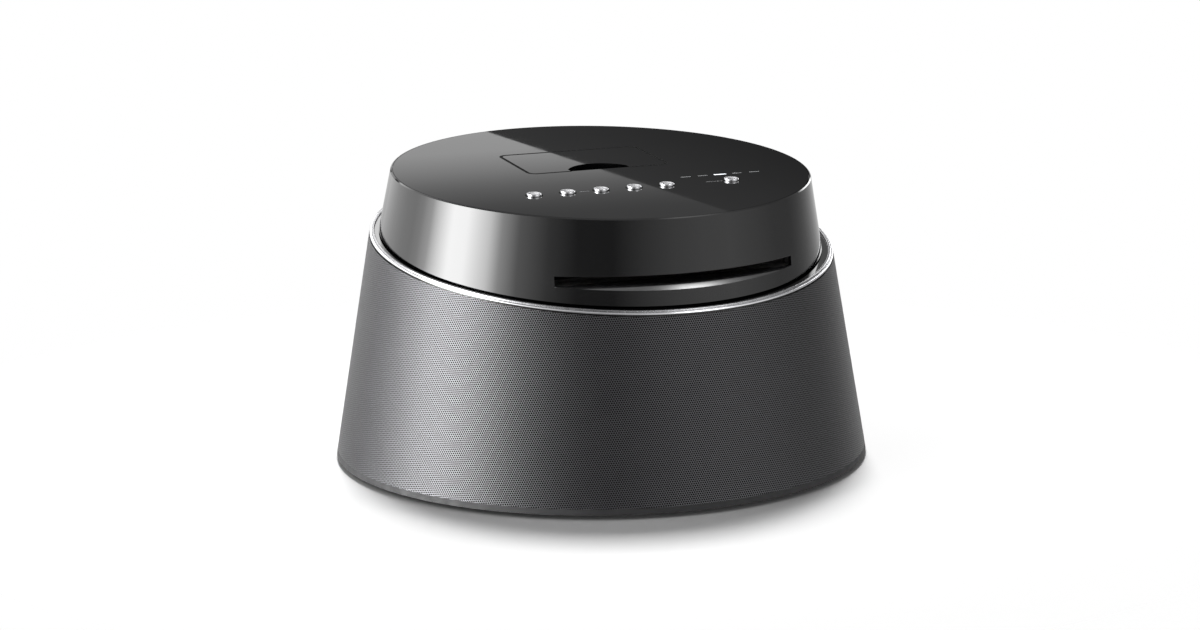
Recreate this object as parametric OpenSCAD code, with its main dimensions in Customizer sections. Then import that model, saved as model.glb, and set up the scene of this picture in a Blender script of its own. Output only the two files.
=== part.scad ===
// Round disc player: a perforated cone with two speaker drivers carries a glossy
// drum with a disc slot and a sloping top panel with a dock door and buttons.
// Millimetres, +Z up, front towards -Y. The origin is the centre of the body on
// the surface that it stands on.

/* [Body] */
// Radius of the body at its bottom edge
base_r = 140; // [132:1:160]
// Lean of the body's wall towards the axis, in degrees
body_lean = 9.6; // [8:0.1:11]
// Height of the body's sloping top edge above its bottom edge, on the axis
body_h = 112.7; // [108:0.5:125]
// Slope of the body's top, down towards the front, in degrees
ring_tilt = 8.2; // [7:0.1:9]
// Wall of the moulded housing parts
wall = 2.5; // [2:0.1:3]
// Thickness of the base plate
base_t = 3; // [2.6:0.1:4]

/* [Grille] */
// Thickness of the perforated sheet
grille_t = 0.8; // [0.6:0.1:1.2]
// Air between the grille and the speaker cabinet
grille_gap = 0.6; // [0.4:0.1:1]
// Dark groove between the grille and the bead
grille_groove = 0.7; // [0.4:0.1:1]

/* [Bead and ledge] */
// Width of the bead
trim_w = 2.5; // [2:0.1:3.2]
// Height of the bead
trim_h = 1.8; // [1.5:0.1:2.4]
// Width of the step in the bead's outer face
trim_step = 1; // [0.7:0.1:1.4]
// Height of the ledge above the bead's lower edge
ledge_rise = 0.9; // [0.6:0.1:1.2]
// Thickness of the deck that forms the ledge
deck_t = 2.5; // [2.2:0.1:3]
// Width from the drum's lower rim to the body's edge, at the sides
ledge_w = 5.3; // [4.8:0.1:7]

/* [Drum] */
// Height of the top panel's centre above the body's top, on the axis
drum_h = 35.6; // [33:0.2:42]
// Lean of the drum's wall towards its axis, in degrees
drum_lean = 10.7; // [9:0.1:12]
// Slope of the top panel, down towards the front, in degrees
top_tilt = 4.2; // [3:0.1:5]
// Offset of the drum's top towards the front
drum_shift = 2.9; // [2:0.1:4]
// Height of the drum's lower rim above the bead's lower edge
rim_gap = 1.9; // [1.6:0.1:2.5]
// Width of the drum's rim round the top panel
rim_w = 1.2; // [0.9:0.1:2]
// Chamfer of the drum's top edge
edge_chamfer = 0.5; // [0.3:0.1:0.7]
// Depth of the neck under the drum's rim, from the rim inwards
neck_in = 3.5; // [3:0.1:4]

/* [Top panel] */
// Thickness of the top panel
panel_t = 3; // [2.8:0.1:3.6]
// Width of the seams round the panel and the door
seam = 0.25; // [0.15:0.05:0.35]

/* [Dock] */
// Width of the dock door
door_w = 78; // [72:1:84]
// Length of the dock door from front to back
door_d = 45.5; // [42:0.5:48]
// Distance of the door's front edge behind the panel's centre
door_y = 0.6; // [0:0.2:3]
// Radius of the door's corners
door_corner = 4; // [3:0.5:5]
// Width of the finger notch in the door
notch_w = 33; // [28:1:36]
// Depth of the finger notch
notch_d = 13.5; // [11:0.5:15]
// Length of the notch's straight sides
notch_side = 4; // [2:0.5:5]
// Depth of the dock well under the panel
well_d = 12; // [10:0.5:13]
// Wall of the dock well
well_wall = 1.6; // [1.4:0.1:2]
// Radius of the door's hinge pins
pin_r = 0.8; // [0.6:0.05:0.9]

/* [Buttons] */
// Radius of a button's cap
button_r = 3.7; // [3.4:0.1:4]
// Height of a button above the panel
button_proud = 1.1; // [0.8:0.1:1.6]
// Spacing of the five buttons in the row
button_pitch = 18.2; // [16:0.2:19]
// Offset of the row's middle button to the left of the panel's centre
button_row_x = 18.4; // [16:0.2:20]
// Distance of the button row in front of the panel's centre
button_row_y = 44; // [40:0.5:48]
// Position of the source button to the right of the panel's centre
source_x = 54.3; // [52:0.1:58]
// Travel of a button
button_travel = 0.7; // [0.4:0.1:0.8]
// Clearance round a button in the panel
button_gap = 0.15; // [0.1:0.05:0.3]

/* [Source lamps] */
// Width of a lamp's window
lamp_w = 6; // [5:0.2:7]
// Length of a lamp's window from front to back
lamp_d = 2.2; // [1.8:0.1:2.6]
// Spacing of the lamps
lamp_pitch = 9.8; // [9:0.1:10.5]
// Distance of the lamps in front of the panel's centre
lamp_y = 30.4; // [28:0.2:32]

/* [Slot] */
// Width of the disc slot
slot_w = 128.4; // [126:0.2:130]
// Height of the slot's throat
throat_h = 5; // [4.4:0.1:5.2]
// Height of the slot's upper edge above the body's top, on the axis
slot_rise = 0.4; // [0:0.2:2]
// Length of the throat from the slot's ends inwards
throat_d = 9; // [8:0.5:9.5]
// Wall round the throat
throat_wall = 2; // [1.6:0.1:2.4]
// Gap between the two felts
felt_gap = 2.2; // [1.8:0.1:2.6]

/* [Feet] */
// Radius of a rubber foot
foot_r = 9; // [7:0.5:11]
// Height of a foot below the base plate
foot_proud = 2.5; // [2:0.1:4]
// Depth of the pocket that holds a foot
foot_recess = 1.5; // [1:0.1:1.8]
// Distance of a foot's centre from the body's bottom edge
foot_inset = 24; // [20:1:28]

/* [Rear bay] */
// Width of the connector bay at the back
bay_w = 104; // [100:1:106]
// Height of the connector bay above the base plate
bay_h = 66; // [64:1:68]
// Distance of the rear panel's outer face from the body's bottom edge
bay_depth = 24; // [22:0.5:26]
// Thickness of the rear panel
rear_t = 2; // [1.5:0.1:2.5]
// Inner radius of the bass port
port_r = 15; // [13:0.5:17]
// Length of the bass port
port_l = 55; // [45:1:60]

/* [Drivers] */
// Radius of a driver's mounting flange
driver_r = 36; // [34:0.5:37]
// Angle of a driver's axis from the front, in degrees
driver_angle = 48; // [46:1:50]
// Height of a driver's centre above the base plate
driver_h = 48; // [47:0.5:50]
// Depth of a driver's flange behind the body's surface
driver_recess = 7.6; // [7.4:0.1:9]
// Thickness of a driver's flange
flange_t = 3; // [2.5:0.1:3.5]
// Travel of a cone to each side
cone_travel = 1.5; // [1:0.1:2]

/* [Loader] */
// Outer width of the loader
loader_w = 126; // [125:0.5:127]
// Distance of the spindle behind the body's axis
spindle_y = -8; // [-10:0.5:-6]
// Thickness of the loader's steel sheet
sheet = 1.2; // [1:0.1:1.4]
// Radius of the rubber loading roller
roller_r = 4; // [3.5:0.1:4.4]
// Module of the loading gears
gear_m = 0.8; // [0.75:0.01:0.82]
// Travel of the pickup from the inner to the outer track
sled_travel = 34; // [30:1:36]
// Radius of the guide rods and of the lead screw
rod_r = 1.5; // [1.2:0.1:1.8]

/* [Fits] */
// Radial clearance of a running fit
run = 0.05; // [0.03:0.01:0.08]
// Clearance between parts that are placed together
fit = 0.2; // [0.1:0.05:0.3]
// Radius of the housing screws' thread
screw_r = 1.5; // [1.3:0.1:1.7]

/* [Hidden] */
$fn = 96;

lean_t = tan(body_lean);
drum_t = tan(drum_lean);

// Heights of the main levels
lift = foot_proud;
base_top = lift + base_t;
ring_z = lift + body_h;
top_z = ring_z + drum_h;
slot_top = ring_z + slot_rise;
disc_z = slot_top - throat_h / 2;
board_rise = 6;
board_t = 1.6;
board_z = base_top + board_rise;

// Screws, and the bosses that they go into
base_screw_angles = [0, 55, 125, 180, 235, 305];
boss_in = 8;
boss_r = 4;
boss_h = 11;
screw_l = 10;
head_r = 2.8;
head_recess = 2;

// The body's outer surface, and the stack of sheets behind it
function body_r(z) = base_r - (z - lift) * lean_t;
cone_h = body_h + 40;
cab_inset = grille_t + grille_gap;
ring_r = body_r(ring_z);

// The drum: a cone whose axis is square to the top panel
drum_low_r = ring_r - ledge_w;
drum_d = drum_h - rim_gap;
drum_top_r = drum_low_r - drum_d * drum_t;
drum_reach = drum_h + 30;
rim_y = -drum_shift + drum_d * sin(top_tilt)
    - drum_low_r * drum_t * tan(ring_tilt - top_tilt);
neck_r = drum_low_r - neck_in;
neck_wall = 2.4;
deck_open_r = neck_r - neck_wall - 1.5;
panel_r = drum_top_r - rim_w;
panel_seat = 3;

// The slot's lip slopes like the body's top, from the slot's two ends
drum_slot_r = drum_top_r + (top_z - slot_top) * drum_t;
lip_y = sqrt(pow(drum_slot_r, 2) - pow(slot_w / 2, 2));
throat_y = lip_y - throat_d;
throat_z = slot_top - throat_h;
// Offset of the lip's plane above the plane of the body's top
lip_rise = (throat_z - ring_z + lip_y * tan(ring_tilt)) * cos(ring_tilt);
felt_t = 0.8;

// The dock
door_t = panel_t - 0.1;
hinge_z = door_t / 2;
// The door's tail behind the pivot is long enough to swing down past the seam
door_tail = 1 + hinge_z * hinge_z / (2 * seam);
hinge_y = door_y + door_d - door_tail;
pin_out = 3.5;
pin_in = 4;
dock_plug_y = door_y + 35;
notch_r = (pow(notch_w / 2, 2) + pow(notch_d - notch_side, 2)) / (2 * (notch_d - notch_side));

// The buttons, the key board and the lamps, as depths below the panel's top
collar_t = 0.8;
collar_w = 1;
collar_d = panel_t + 0.3;
key_board_d = panel_t + 6.5;
switch_h = 3.4;
switch_top = key_board_d - switch_h;
stem_r = 1.5;
row_x = [for (i = [-2:2]) i * button_pitch - button_row_x];
key_x = concat(row_x, [source_x]);
lamp_x = [for (i = [-2:2]) source_x + i * lamp_pitch];
key_posts = [row_x[0] - 11, (row_x[4] + source_x) / 2, source_x + 13];

// The rear bay
rear_y = base_r - bay_depth;
bay_top = base_top + bay_h;
bay_flange = 6;
rear_in = rear_y - rear_t;

// The boards and what stands on them
main_x = 46;
main_y0 = 40;
power_x = 38;
power_y0 = -88;
power_y1 = -22;
post_in = 4;
board_posts = [for (side = [-1, 1]) each [
    [side * (main_x - post_in), main_y0 + post_in],
    [side * (main_x - post_in), rear_in - 10],
    [side * (power_x - post_in), power_y0 + post_in],
    [side * (power_x - post_in), power_y1 - post_in]
]];
sink_x = -22;
sink_y = 62;
sink_w = 40;
sink_d = 24;
sink_h = 28;
sink_base = 5;
fins = 9;
fin_t = 2;
core_x = -14;
core_y = -60;
core_w = 36;
core_d = 30;
core_h = 28;
coil_w = 24;
coil_d = 42;
coil_h = 18;
jack_z = board_z + board_t + 6;
rear_screw_x = bay_w / 2 - 3.4;
port_wall = 2;
port_flare = 4;
port_x = bay_w / 2 - bay_flange - port_wall - port_r - 1;
port_z = bay_top - 24;
mains_w = 24;
mains_h = 16;
mains_at = [mains_w / 2 + bay_flange - bay_w / 2, bay_top - 20];
socket_end = 14;
socket_x = [for (i = [0:5]) socket_end - bay_w / 2 + i * (bay_w - 2 * socket_end) / 5];
aerial_r = 4.75;
aerial_at = [socket_x[0], jack_z];
phono_r = 4.15;
phono_row = 13;
phono_at = [
    [socket_x[1], jack_z], [socket_x[2], jack_z], [socket_x[3], jack_z],
    [socket_x[1], jack_z + phono_row], [socket_x[2], jack_z + phono_row]
];
line_nut_r = 4;
line_bore_r = 1.8;
line_at = [socket_x[4], jack_z];
usb_w = 13;
usb_h = 5.7;
usb_at = [socket_x[5], jack_z];

// The drivers, along each driver's own axis from the body's surface inwards
driver_z = base_top + driver_h;
pad_d = driver_recess + flange_t;
pad_t = 3;
basket_r = driver_r - 6.5;
cone_r = driver_r - 9.9;
cone_t = 0.8;
coil_r = 9;
basket_d = 22;
magnet_r = 20;
magnet_t = 10;
coil_in = 3;
gap_d = coil_in + cone_travel + 1.5;
driver_screw_r = driver_r - 3;

// The loader, with heights counted from the disc's plane
disc_t = 1.2;
half_w = loader_w / 2;
loader_y0 = -throat_y + 6;
sled_l = 18;
sled_y0 = spindle_y + 15;
block_l = 4;
rod_y0 = spindle_y + 10;
rod_y1 = sled_y0 + sled_l + sled_travel + block_l + 7;
loader_y1 = rod_y1 + 4;
floor_z = -20;
cover_z = 5;
roller_y = -throat_y + 12;
roller_z = -disc_t / 2 - roller_r - 0.1;
shaft_r = 1.5;
gear_w = 3;
teeth_roller = 16;
teeth_small = 12;
teeth_big = 32;
teeth_pinion = 10;
gear_x = half_w + 0.8;
big_gear_x = gear_x + gear_w + 0.5;
idler_drop = 20;
pinion_drop = 10;
mesh_gap = 0.1;
roller_mesh = gear_m * (teeth_roller + teeth_small) / 2 + mesh_gap;
pinion_mesh = gear_m * (teeth_big + teeth_pinion) / 2 + mesh_gap;
idler_y = roller_y + roller_mesh * cos(idler_drop);
idler_z = roller_z - roller_mesh * sin(idler_drop);
pinion_y = idler_y + pinion_mesh * cos(pinion_drop);
pinion_z = idler_z - pinion_mesh * sin(pinion_drop);
small_turn = 180 - idler_drop + 180 / teeth_small;
pinion_turn = 180 - pinion_drop + 180 / teeth_pinion;
motor_r = 6.5;
motor_l = 20;
motor_boss_r = 2.4;
motor_shaft_r = 0.8;
motor_shaft_in = 7;
post_x = 52;
post_y = [spindle_y - 13, spindle_y + 48];
bush_r = 5;
bush_waist = 3.5;
bush_flange = 1.5;
post_top = disc_z + floor_z - bush_flange;
screw_shoulder = 1.9;
loader_head_r = 4.5;
loader_head_h = 1.4;
loader_thread_l = 9;

// The traverse
plate_z = -14;
plate_x = 38;
rod_x = 20;
rod_z = -8;
screw_x = -31;
sled_x = 25;
can_r = 12.5;
can_top = -3.2;
table_r = 15;
hub_r = 7.4;
spindle_r = 1;
arm_z = 7.4;
arm_pivot_y = rod_y1 - 10;
arm_pivot_z = 9;
arm_w = 20;
puck_hole = 9;

// ---------------------------------------------------------------- frames

// The plane of the body's sloping top
module on_ring(rise = 0) {
    translate([0, 0, ring_z]) rotate([ring_tilt, 0, 0]) translate([0, 0, rise]) children();
}

// The plane of the top panel, with depth counted down from its surface
module on_top(depth = 0) {
    translate([0, -drum_shift, top_z]) rotate([top_tilt, 0, 0]) translate([0, 0, -depth])
        children();
}

// A driver's axis, with +Z out of the body's wall; side is -1 left, 1 right
module at_driver(side) {
    rotate([0, 0, side * driver_angle]) translate([0, -body_r(driver_z), driver_z])
        rotate([90 - body_lean, 0, 0]) children();
}

// The loader's frame: the plane of the disc
module at_disc() {
    translate([0, 0, disc_z]) children();
}

// An axle along X in the loader's frame
module axle(x, y, z, r, l) {
    translate([x, y, z]) rotate([0, 90, 0]) cylinder(r = r, h = l);
}

// ---------------------------------------------------------------- shared shapes

module block(x0, x1, y0, y1, z0, z1) {
    translate([x0, y0, z0]) cube([x1 - x0, y1 - y0, z1 - z0]);
}

module ring(r_out, r_in, z0, z1) {
    translate([0, 0, z0]) difference() {
        cylinder(r = r_out, h = z1 - z0);
        translate([0, 0, -1]) cylinder(r = r_in, h = z1 - z0 + 2);
    }
}

// The body's cone, inset horizontally
module body_cone(inset = 0) {
    translate([0, 0, lift])
        cylinder(r1 = base_r - inset, r2 = base_r - inset - cone_h * lean_t, h = cone_h);
}

// All that lies between two offsets from the plane of the body's top
module ring_band(lo, hi) {
    on_ring(lo) cylinder(r = base_r + 20, h = hi - lo);
}

module body_wall(out, inner, z0, rise) {
    intersection() {
        difference() {
            body_cone(out);
            body_cone(inner);
        }
        translate([0, 0, z0]) cylinder(r = base_r + 10, h = cone_h);
        ring_band(-2 * base_r, rise);
    }
}

// A rectangle with round corners, from squares and circles
module round_rect(x0, x1, y0, y1, r) {
    translate([x0 + r, y0]) square([x1 - x0 - 2 * r, y1 - y0]);
    translate([x0, y0 + r]) square([x1 - x0, y1 - y0 - 2 * r]);
    for (x = [x0 + r, x1 - r], y = [y0 + r, y1 - r]) translate([x, y]) circle(r);
}

module door_outline(grow = 0) {
    round_rect(-door_w / 2 - grow, door_w / 2 + grow, door_y - grow, door_y + door_d + grow,
        door_corner + grow);
}

// A self-tapping screw: head up at z = 0, thread down
module screw() {
    difference() {
        cylinder(r1 = head_r, r2 = head_r - 0.5, h = 1.7);
        for (a = [0, 90]) rotate([0, 0, a]) translate([-1.6, -0.4, 0.9]) cube([3.2, 0.8, 1]);
    }
    translate([0, 0, -screw_l]) cylinder(r = screw_r, h = screw_l);
}

module at_base_screws() {
    for (a = base_screw_angles) rotate([0, 0, a]) translate([base_r - boss_in, 0, 0])
        children();
}

module at_rear_screws() {
    for (x = [-rear_screw_x, rear_screw_x], z = [base_top + 14, bay_top - 5])
        translate([x, rear_y, z]) rotate([-90, 0, 0]) children();
}

module at_driver_screws() {
    for (side = [-1, 1], a = [45:90:315])
        at_driver(side) rotate([0, 0, a]) translate([driver_screw_r, 0, -driver_recess])
            children();
}

// ---------------------------------------------------------------- housing

module base_plate() color([0.06, 0.06, 0.065]) {
    spigot_h = 4;
    spigot_r = body_r(base_top + spigot_h) - cab_inset - wall - fit;
    difference() {
        union() {
            translate([0, 0, lift])
                cylinder(r1 = base_r, r2 = body_r(base_top), h = base_t);
            difference() {
                ring(spigot_r, spigot_r - 2, base_top, base_top + spigot_h);
                block(-bay_w / 2 - wall - fit, bay_w / 2 + wall + fit, 0, base_r,
                    base_top, base_top + spigot_h + 1);
                for (side = [-1, 1]) at_driver(side)
                    translate([0, 0, -40]) cylinder(r = driver_r + 6, h = 50);
                at_base_screws() translate([0, 0, base_top]) cylinder(r = boss_r + fit, h = boss_h);
            }
            for (x = [-post_x, post_x], y = post_y)
                translate([x, y, base_top]) cylinder(r = 5, h = post_top - base_top);
            for (p = board_posts)
                translate([p[0], p[1], base_top]) cylinder(r = 3, h = board_rise);
        }
        for (a = [45:90:315]) rotate([0, 0, a]) translate([base_r - foot_inset, 0, lift - 1])
            cylinder(r = foot_r, h = foot_recess + 1);
        at_base_screws() {
            translate([0, 0, lift - 1]) cylinder(r = screw_r + 0.2, h = base_t + 2);
            translate([0, 0, lift - 1]) cylinder(r = head_r + 0.3, h = head_recess + 1);
        }
        for (x = [-post_x, post_x], y = post_y)
            translate([x, y, post_top - loader_thread_l - 1])
                cylinder(r = screw_shoulder - 0.4, h = loader_thread_l + 2);
        vents();
    }
}

// Cooling slots in the base plate
module vents() {
    vent_l = 34;
    for (i = [-4:4]) translate([i * 7, 0, lift - 1]) linear_extrude(base_t + 2) {
        translate([-1.5, -vent_l / 2]) square([3, vent_l]);
        for (y = [-vent_l / 2, vent_l / 2]) translate([0, y]) circle(1.5);
    }
}

module rubber_feet() color([0.03, 0.03, 0.03]) {
    for (a = [45:90:315]) rotate([0, 0, a]) translate([base_r - foot_inset, 0, 0])
        rotate_extrude() polygon([
            [0, 0], [foot_r - 0.8, 0], [foot_r, 0.8], [foot_r, lift + foot_recess],
            [0, lift + foot_recess]
        ]);
}

module case_screws() color([0.2, 0.2, 0.21]) {
    at_base_screws() translate([0, 0, lift + head_recess]) rotate([180, 0, 0]) screw();
    at_rear_screws() screw();
    at_driver_screws() screw();
}

module cabinet() color([0.08, 0.08, 0.085]) {
    deck_low = ledge_rise - deck_t;
    difference() {
        union() {
            body_wall(cab_inset, cab_inset + wall, base_top - 1, deck_low);
            intersection() {
                body_cone(cab_inset);
                union() {
                    at_base_screws() translate([0, 0, base_top - 1])
                        cylinder(r = boss_r, h = boss_h + 1);
                    bay_frame();
                    for (side = [-1, 1]) driver_cup(side);
                }
                ring_band(-2 * base_r, deck_low);
            }
        }
        translate([0, 0, base_top - 2]) cylinder(r = base_r, h = 2);
        block(-bay_w / 2, bay_w / 2, rear_in, base_r, base_top - 1, bay_top);
        for (side = [-1, 1]) at_driver(side) {
            translate([0, 0, -pad_d]) cylinder(r = driver_r + fit, h = 40);
            translate([0, 0, -pad_d - 20]) cylinder(r = basket_r + 0.5, h = 40);
        }
        at_base_screws() translate([0, 0, lift])
            cylinder(r = screw_r, h = head_recess + screw_l + 0.5);
        at_rear_screws() translate([0, 0, -rear_t - 8.5]) cylinder(r = screw_r, h = 10);
        at_driver_screws() translate([0, 0, -10.5]) cylinder(r = screw_r, h = 12);
    }
}

// Walls and mounting flange of the connector bay
module bay_frame() {
    difference() {
        block(-bay_w / 2 - wall, bay_w / 2 + wall, rear_in - 2, base_r, base_top - 1,
            bay_top + wall);
        block(-bay_w / 2 + bay_flange, bay_w / 2 - bay_flange, rear_in - 3, base_r,
            base_top - 2, bay_top - bay_flange);
    }
    intersection() {
        at_rear_screws() translate([0, 0, -rear_t - 9]) cylinder(r = 3.2, h = 8);
        block(-bay_w / 2 - wall, bay_w / 2 + wall, 0, base_r, base_top, bay_top + wall);
    }
}

// Round recess with a flat seat for a driver
module driver_cup(side) {
    at_driver(side) translate([0, 0, -pad_d - pad_t])
        cylinder(r = driver_r + fit + wall, h = pad_d + pad_t + 5);
}

module bay_opening() {
    block(-bay_w / 2, bay_w / 2, rear_in, base_r + 10, base_top, bay_top);
}

module grille() color([0.28, 0.28, 0.29]) {
    difference() {
        body_wall(0, grille_t, base_top, -grille_groove);
        bay_opening();
    }
}

module trim_ring() color([0.85, 0.85, 0.87]) {
    difference() {
        union() {
            intersection() {
                body_cone(0);
                ring_band(0, trim_h / 2);
            }
            intersection() {
                body_cone(trim_step);
                ring_band(0, trim_h);
            }
        }
        body_cone(trim_w);
    }
}

module deck_ring() color([0.04, 0.04, 0.045]) {
    difference() {
        union() {
            intersection() {
                body_cone(trim_w + 0.1);
                ring_band(ledge_rise - deck_t, ledge_rise);
            }
            intersection() {
                body_cone(grille_t + 0.05);
                ring_band(ledge_rise - deck_t, 0);
            }
        }
        on_ring(-10) translate([0, rim_y, 0]) cylinder(r = deck_open_r, h = 20);
    }
}

// The drum's cone, inset from its outer surface
module drum_cone(inset = 0) {
    on_top(drum_reach) cylinder(r1 = drum_top_r + drum_reach * drum_t - inset,
        r2 = drum_top_r - inset, h = drum_reach);
}

module drum_wall() {
    seat_z = -panel_t - 1.5;
    on_top() rotate_extrude() polygon([
        [drum_top_r + drum_reach * drum_t, -drum_reach],
        [drum_top_r + edge_chamfer * drum_t, -edge_chamfer],
        [drum_top_r - edge_chamfer, 0],
        [panel_r + seam, 0],
        [panel_r + seam, -panel_t],
        [panel_r - panel_seat, -panel_t],
        [panel_r - panel_seat, seat_z],
        [drum_top_r - seat_z * drum_t - wall, seat_z],
        [drum_top_r + drum_reach * drum_t - wall, -drum_reach]
    ]);
}

module above_rim() {
    ring_band(rim_gap, rim_gap + 100);
}

module drum_shell() color([0.03, 0.03, 0.035]) {
    difference() {
        union() {
            intersection() {
                drum_wall();
                above_rim();
            }
            intersection() {
                drum_cone(0.01);
                difference() {
                    ring_band(rim_gap, rim_gap + 2);
                    on_ring(0) translate([0, rim_y, 0]) cylinder(r = neck_r - neck_wall, h = 20);
                }
            }
            on_ring(ledge_rise) translate([0, rim_y, 0])
                ring(neck_r, neck_r - neck_wall, 0, rim_gap - ledge_rise + 1);
        }
        slot_cut();
    }
}

// The throat behind the slot, glued in against the inside of the drum's wall
module slot_mouth() color([0.03, 0.03, 0.035]) {
    difference() {
        intersection() {
            drum_cone(wall + run);
            block(-slot_w / 2 - throat_wall, slot_w / 2 + throat_wall, -base_r, -throat_y,
                0, slot_top + throat_wall);
            ring_band(lip_rise - throat_wall / cos(ring_tilt), 60);
        }
        slot_cut();
    }
}

// The slot: a level throat, opening downwards to the sloping lip
module slot_cut() {
    block(-slot_w / 2, slot_w / 2, -lip_y, -throat_y + 1, throat_z, slot_top);
    intersection() {
        block(-slot_w / 2, slot_w / 2, -base_r, -throat_y - 1, ring_z - 60, slot_top);
        ring_band(lip_rise, 60);
    }
}

module slot_felts() color([0.02, 0.02, 0.02]) {
    felt_w = slot_w - 2;
    block(-felt_w / 2, felt_w / 2, -throat_y, -throat_y + felt_t, disc_z + felt_gap / 2,
        slot_top + throat_wall);
    block(-felt_w / 2, felt_w / 2, -throat_y, -throat_y + felt_t, throat_z - throat_wall + 1,
        disc_z - felt_gap / 2);
}

module top_panel() color([0.035, 0.035, 0.04]) {
    post_r = 3;
    on_top() difference() {
        union() {
            translate([0, 0, -panel_t]) cylinder(r = panel_r, h = panel_t);
            for (x = key_posts) translate([x, -button_row_y, -key_board_d])
                cylinder(r = post_r, h = key_board_d - 1);
        }
        translate([0, 0, -panel_t - 1]) linear_extrude(panel_t + 2) door_outline(seam);
        for (x = key_x) translate([x, -button_row_y, -panel_t - 1])
            cylinder(r = button_r + button_gap, h = panel_t + 2);
        for (x = lamp_x) block(x - lamp_w / 2, x + lamp_w / 2, -lamp_y - lamp_d / 2,
            -lamp_y + lamp_d / 2, -panel_t - 1, 1);
        for (side = [-1, 1]) translate([side * door_w / 2 - side * 2, hinge_y, hinge_z - door_t])
            rotate([0, side * 90, 0]) cylinder(r = pin_r + run, h = pin_out + 3);
    }
}

// ---------------------------------------------------------------- dock

module dock_well() color([0.03, 0.03, 0.03]) {
    x_in = door_w / 2 + seam;
    y0 = door_y + 2;
    y1 = door_y + door_d + 0.4;
    rim = 5;
    on_top(panel_t) {
        difference() {
            union() {
                block(-x_in - well_wall, x_in + well_wall, y0 - well_wall, y1 + well_wall,
                    -well_d - well_wall, 0);
                block(-x_in - rim, x_in + rim, y0 - rim, y1 + rim, -well_wall, 0);
            }
            block(-x_in, x_in, y0, y1, -well_d, 1);
        }
        for (side = [0, 1]) mirror([side, 0, 0]) block(door_w / 2 - 1.5, x_in + 0.5, y0 - 0.5,
            hinge_y - door_tail, -well_wall, 0);
    }
}

module dock_connector() color([0.1, 0.1, 0.1]) {
    on_top(panel_t + well_d) {
        block(-13, 13, dock_plug_y - 3.5, dock_plug_y + 3.5, 0, 4);
        block(-10.8, 10.8, dock_plug_y - 1.1, dock_plug_y + 1.1, 0, well_d - 1.5);
    }
}

module notch_outline() {
    translate([0, door_y]) intersection() {
        translate([-notch_w / 2, -5]) square([notch_w, notch_d + 10]);
        union() {
            translate([-notch_w / 2, -5]) square([notch_w, notch_side + 5]);
            intersection() {
                translate([0, notch_d - notch_r]) circle(notch_r);
                translate([-notch_w / 2, notch_side]) square([notch_w, notch_d]);
            }
        }
    }
}

module dock_door() color([0.035, 0.035, 0.04]) {
    on_top(door_t) difference() {
        linear_extrude(door_t) door_outline();
        translate([0, 0, -1]) linear_extrude(door_t + 2) notch_outline();
        for (side = [-1, 1]) door_pin(side, 0);
    }
}

// A hinge pin in the door's frame: half in the door, half in the panel
module door_pin(side, grow) {
    translate([side * (door_w / 2 - pin_in), hinge_y, hinge_z]) rotate([0, side * 90, 0])
        cylinder(r = pin_r + grow, h = pin_in + pin_out);
}

module door_pins() color([0.7, 0.7, 0.72]) {
    on_top(door_t) for (side = [-1, 1]) door_pin(side, 0);
}

// ---------------------------------------------------------------- buttons and lamps

module button(x) color([0.85, 0.85, 0.87]) {
    stem_end = switch_top - 0.1;
    on_top() translate([x, -button_row_y, 0]) rotate_extrude() polygon([
        [0, button_proud - 0.25], [button_r - 1.2, button_proud - 0.25],
        [button_r - 0.8, button_proud], [button_r - 0.3, button_proud],
        [button_r, button_proud - 0.3], [button_r, -collar_d],
        [button_r + collar_w, -collar_d], [button_r + collar_w, -collar_d - collar_t],
        [stem_r, -collar_d - collar_t], [stem_r, -stem_end], [0, -stem_end]
    ]);
}

module indicator_lenses() color([0.8, 0.85, 0.9]) {
    on_top() {
        for (x = lamp_x) block(x - lamp_w / 2 + 0.05, x + lamp_w / 2 - 0.05,
            -lamp_y - lamp_d / 2 + 0.05, -lamp_y + lamp_d / 2 - 0.05, -panel_t - 1, 0);
        block(lamp_x[0] - lamp_w, lamp_x[4] + lamp_w, -lamp_y - 2.2, -lamp_y + 2.2,
            -panel_t - 2, -panel_t);
    }
}

module key_board() color([0.1, 0.3, 0.15]) {
    on_top(key_board_d + board_t) block(key_posts[0] - 4, lamp_x[4] + 6,
        -button_row_y - 6, -lamp_y + 6, 0, board_t);
}

module key_switches() color([0.15, 0.15, 0.15]) {
    on_top(key_board_d) for (x = key_x) translate([x, -button_row_y, 0]) difference() {
        translate([-3, -3, 0]) cube([6, 6, switch_h]);
        translate([0, 0, switch_h - button_travel - 0.5])
            cylinder(r = stem_r + 0.3, h = button_travel + 1);
    }
}

// ---------------------------------------------------------------- rear panel

module rear_panel() color([0.1, 0.1, 0.105]) {
    difference() {
        block(-bay_w / 2 + fit, bay_w / 2 - fit, rear_in, rear_y, base_top, bay_top - fit);
        at_rear_screws() translate([0, 0, -rear_t - 1]) cylinder(r = screw_r + 0.2, h = 5);
        at_rear([port_x, port_z]) cylinder(r = port_r + port_wall + 0.1, h = 20, center = true);
        at_rear(mains_at) cube([mains_w - 4, mains_h - 4, 20], center = true);
        for (p = phono_at) at_rear(p) cylinder(r = phono_r + 0.3, h = 20, center = true);
        at_rear(line_at) cylinder(r = line_nut_r + 0.2, h = 20, center = true);
        at_rear(aerial_at) cylinder(r = aerial_r + 0.3, h = 20, center = true);
        at_rear(usb_at) cube([usb_w + 0.4, usb_h + 0.4, 20], center = true);
    }
}

// A place on the rear panel: [x, z], with local +Z out of the panel and local Y down
module at_rear(p) {
    translate([p[0], rear_y, p[1]]) rotate([-90, 0, 0]) children();
}

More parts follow.
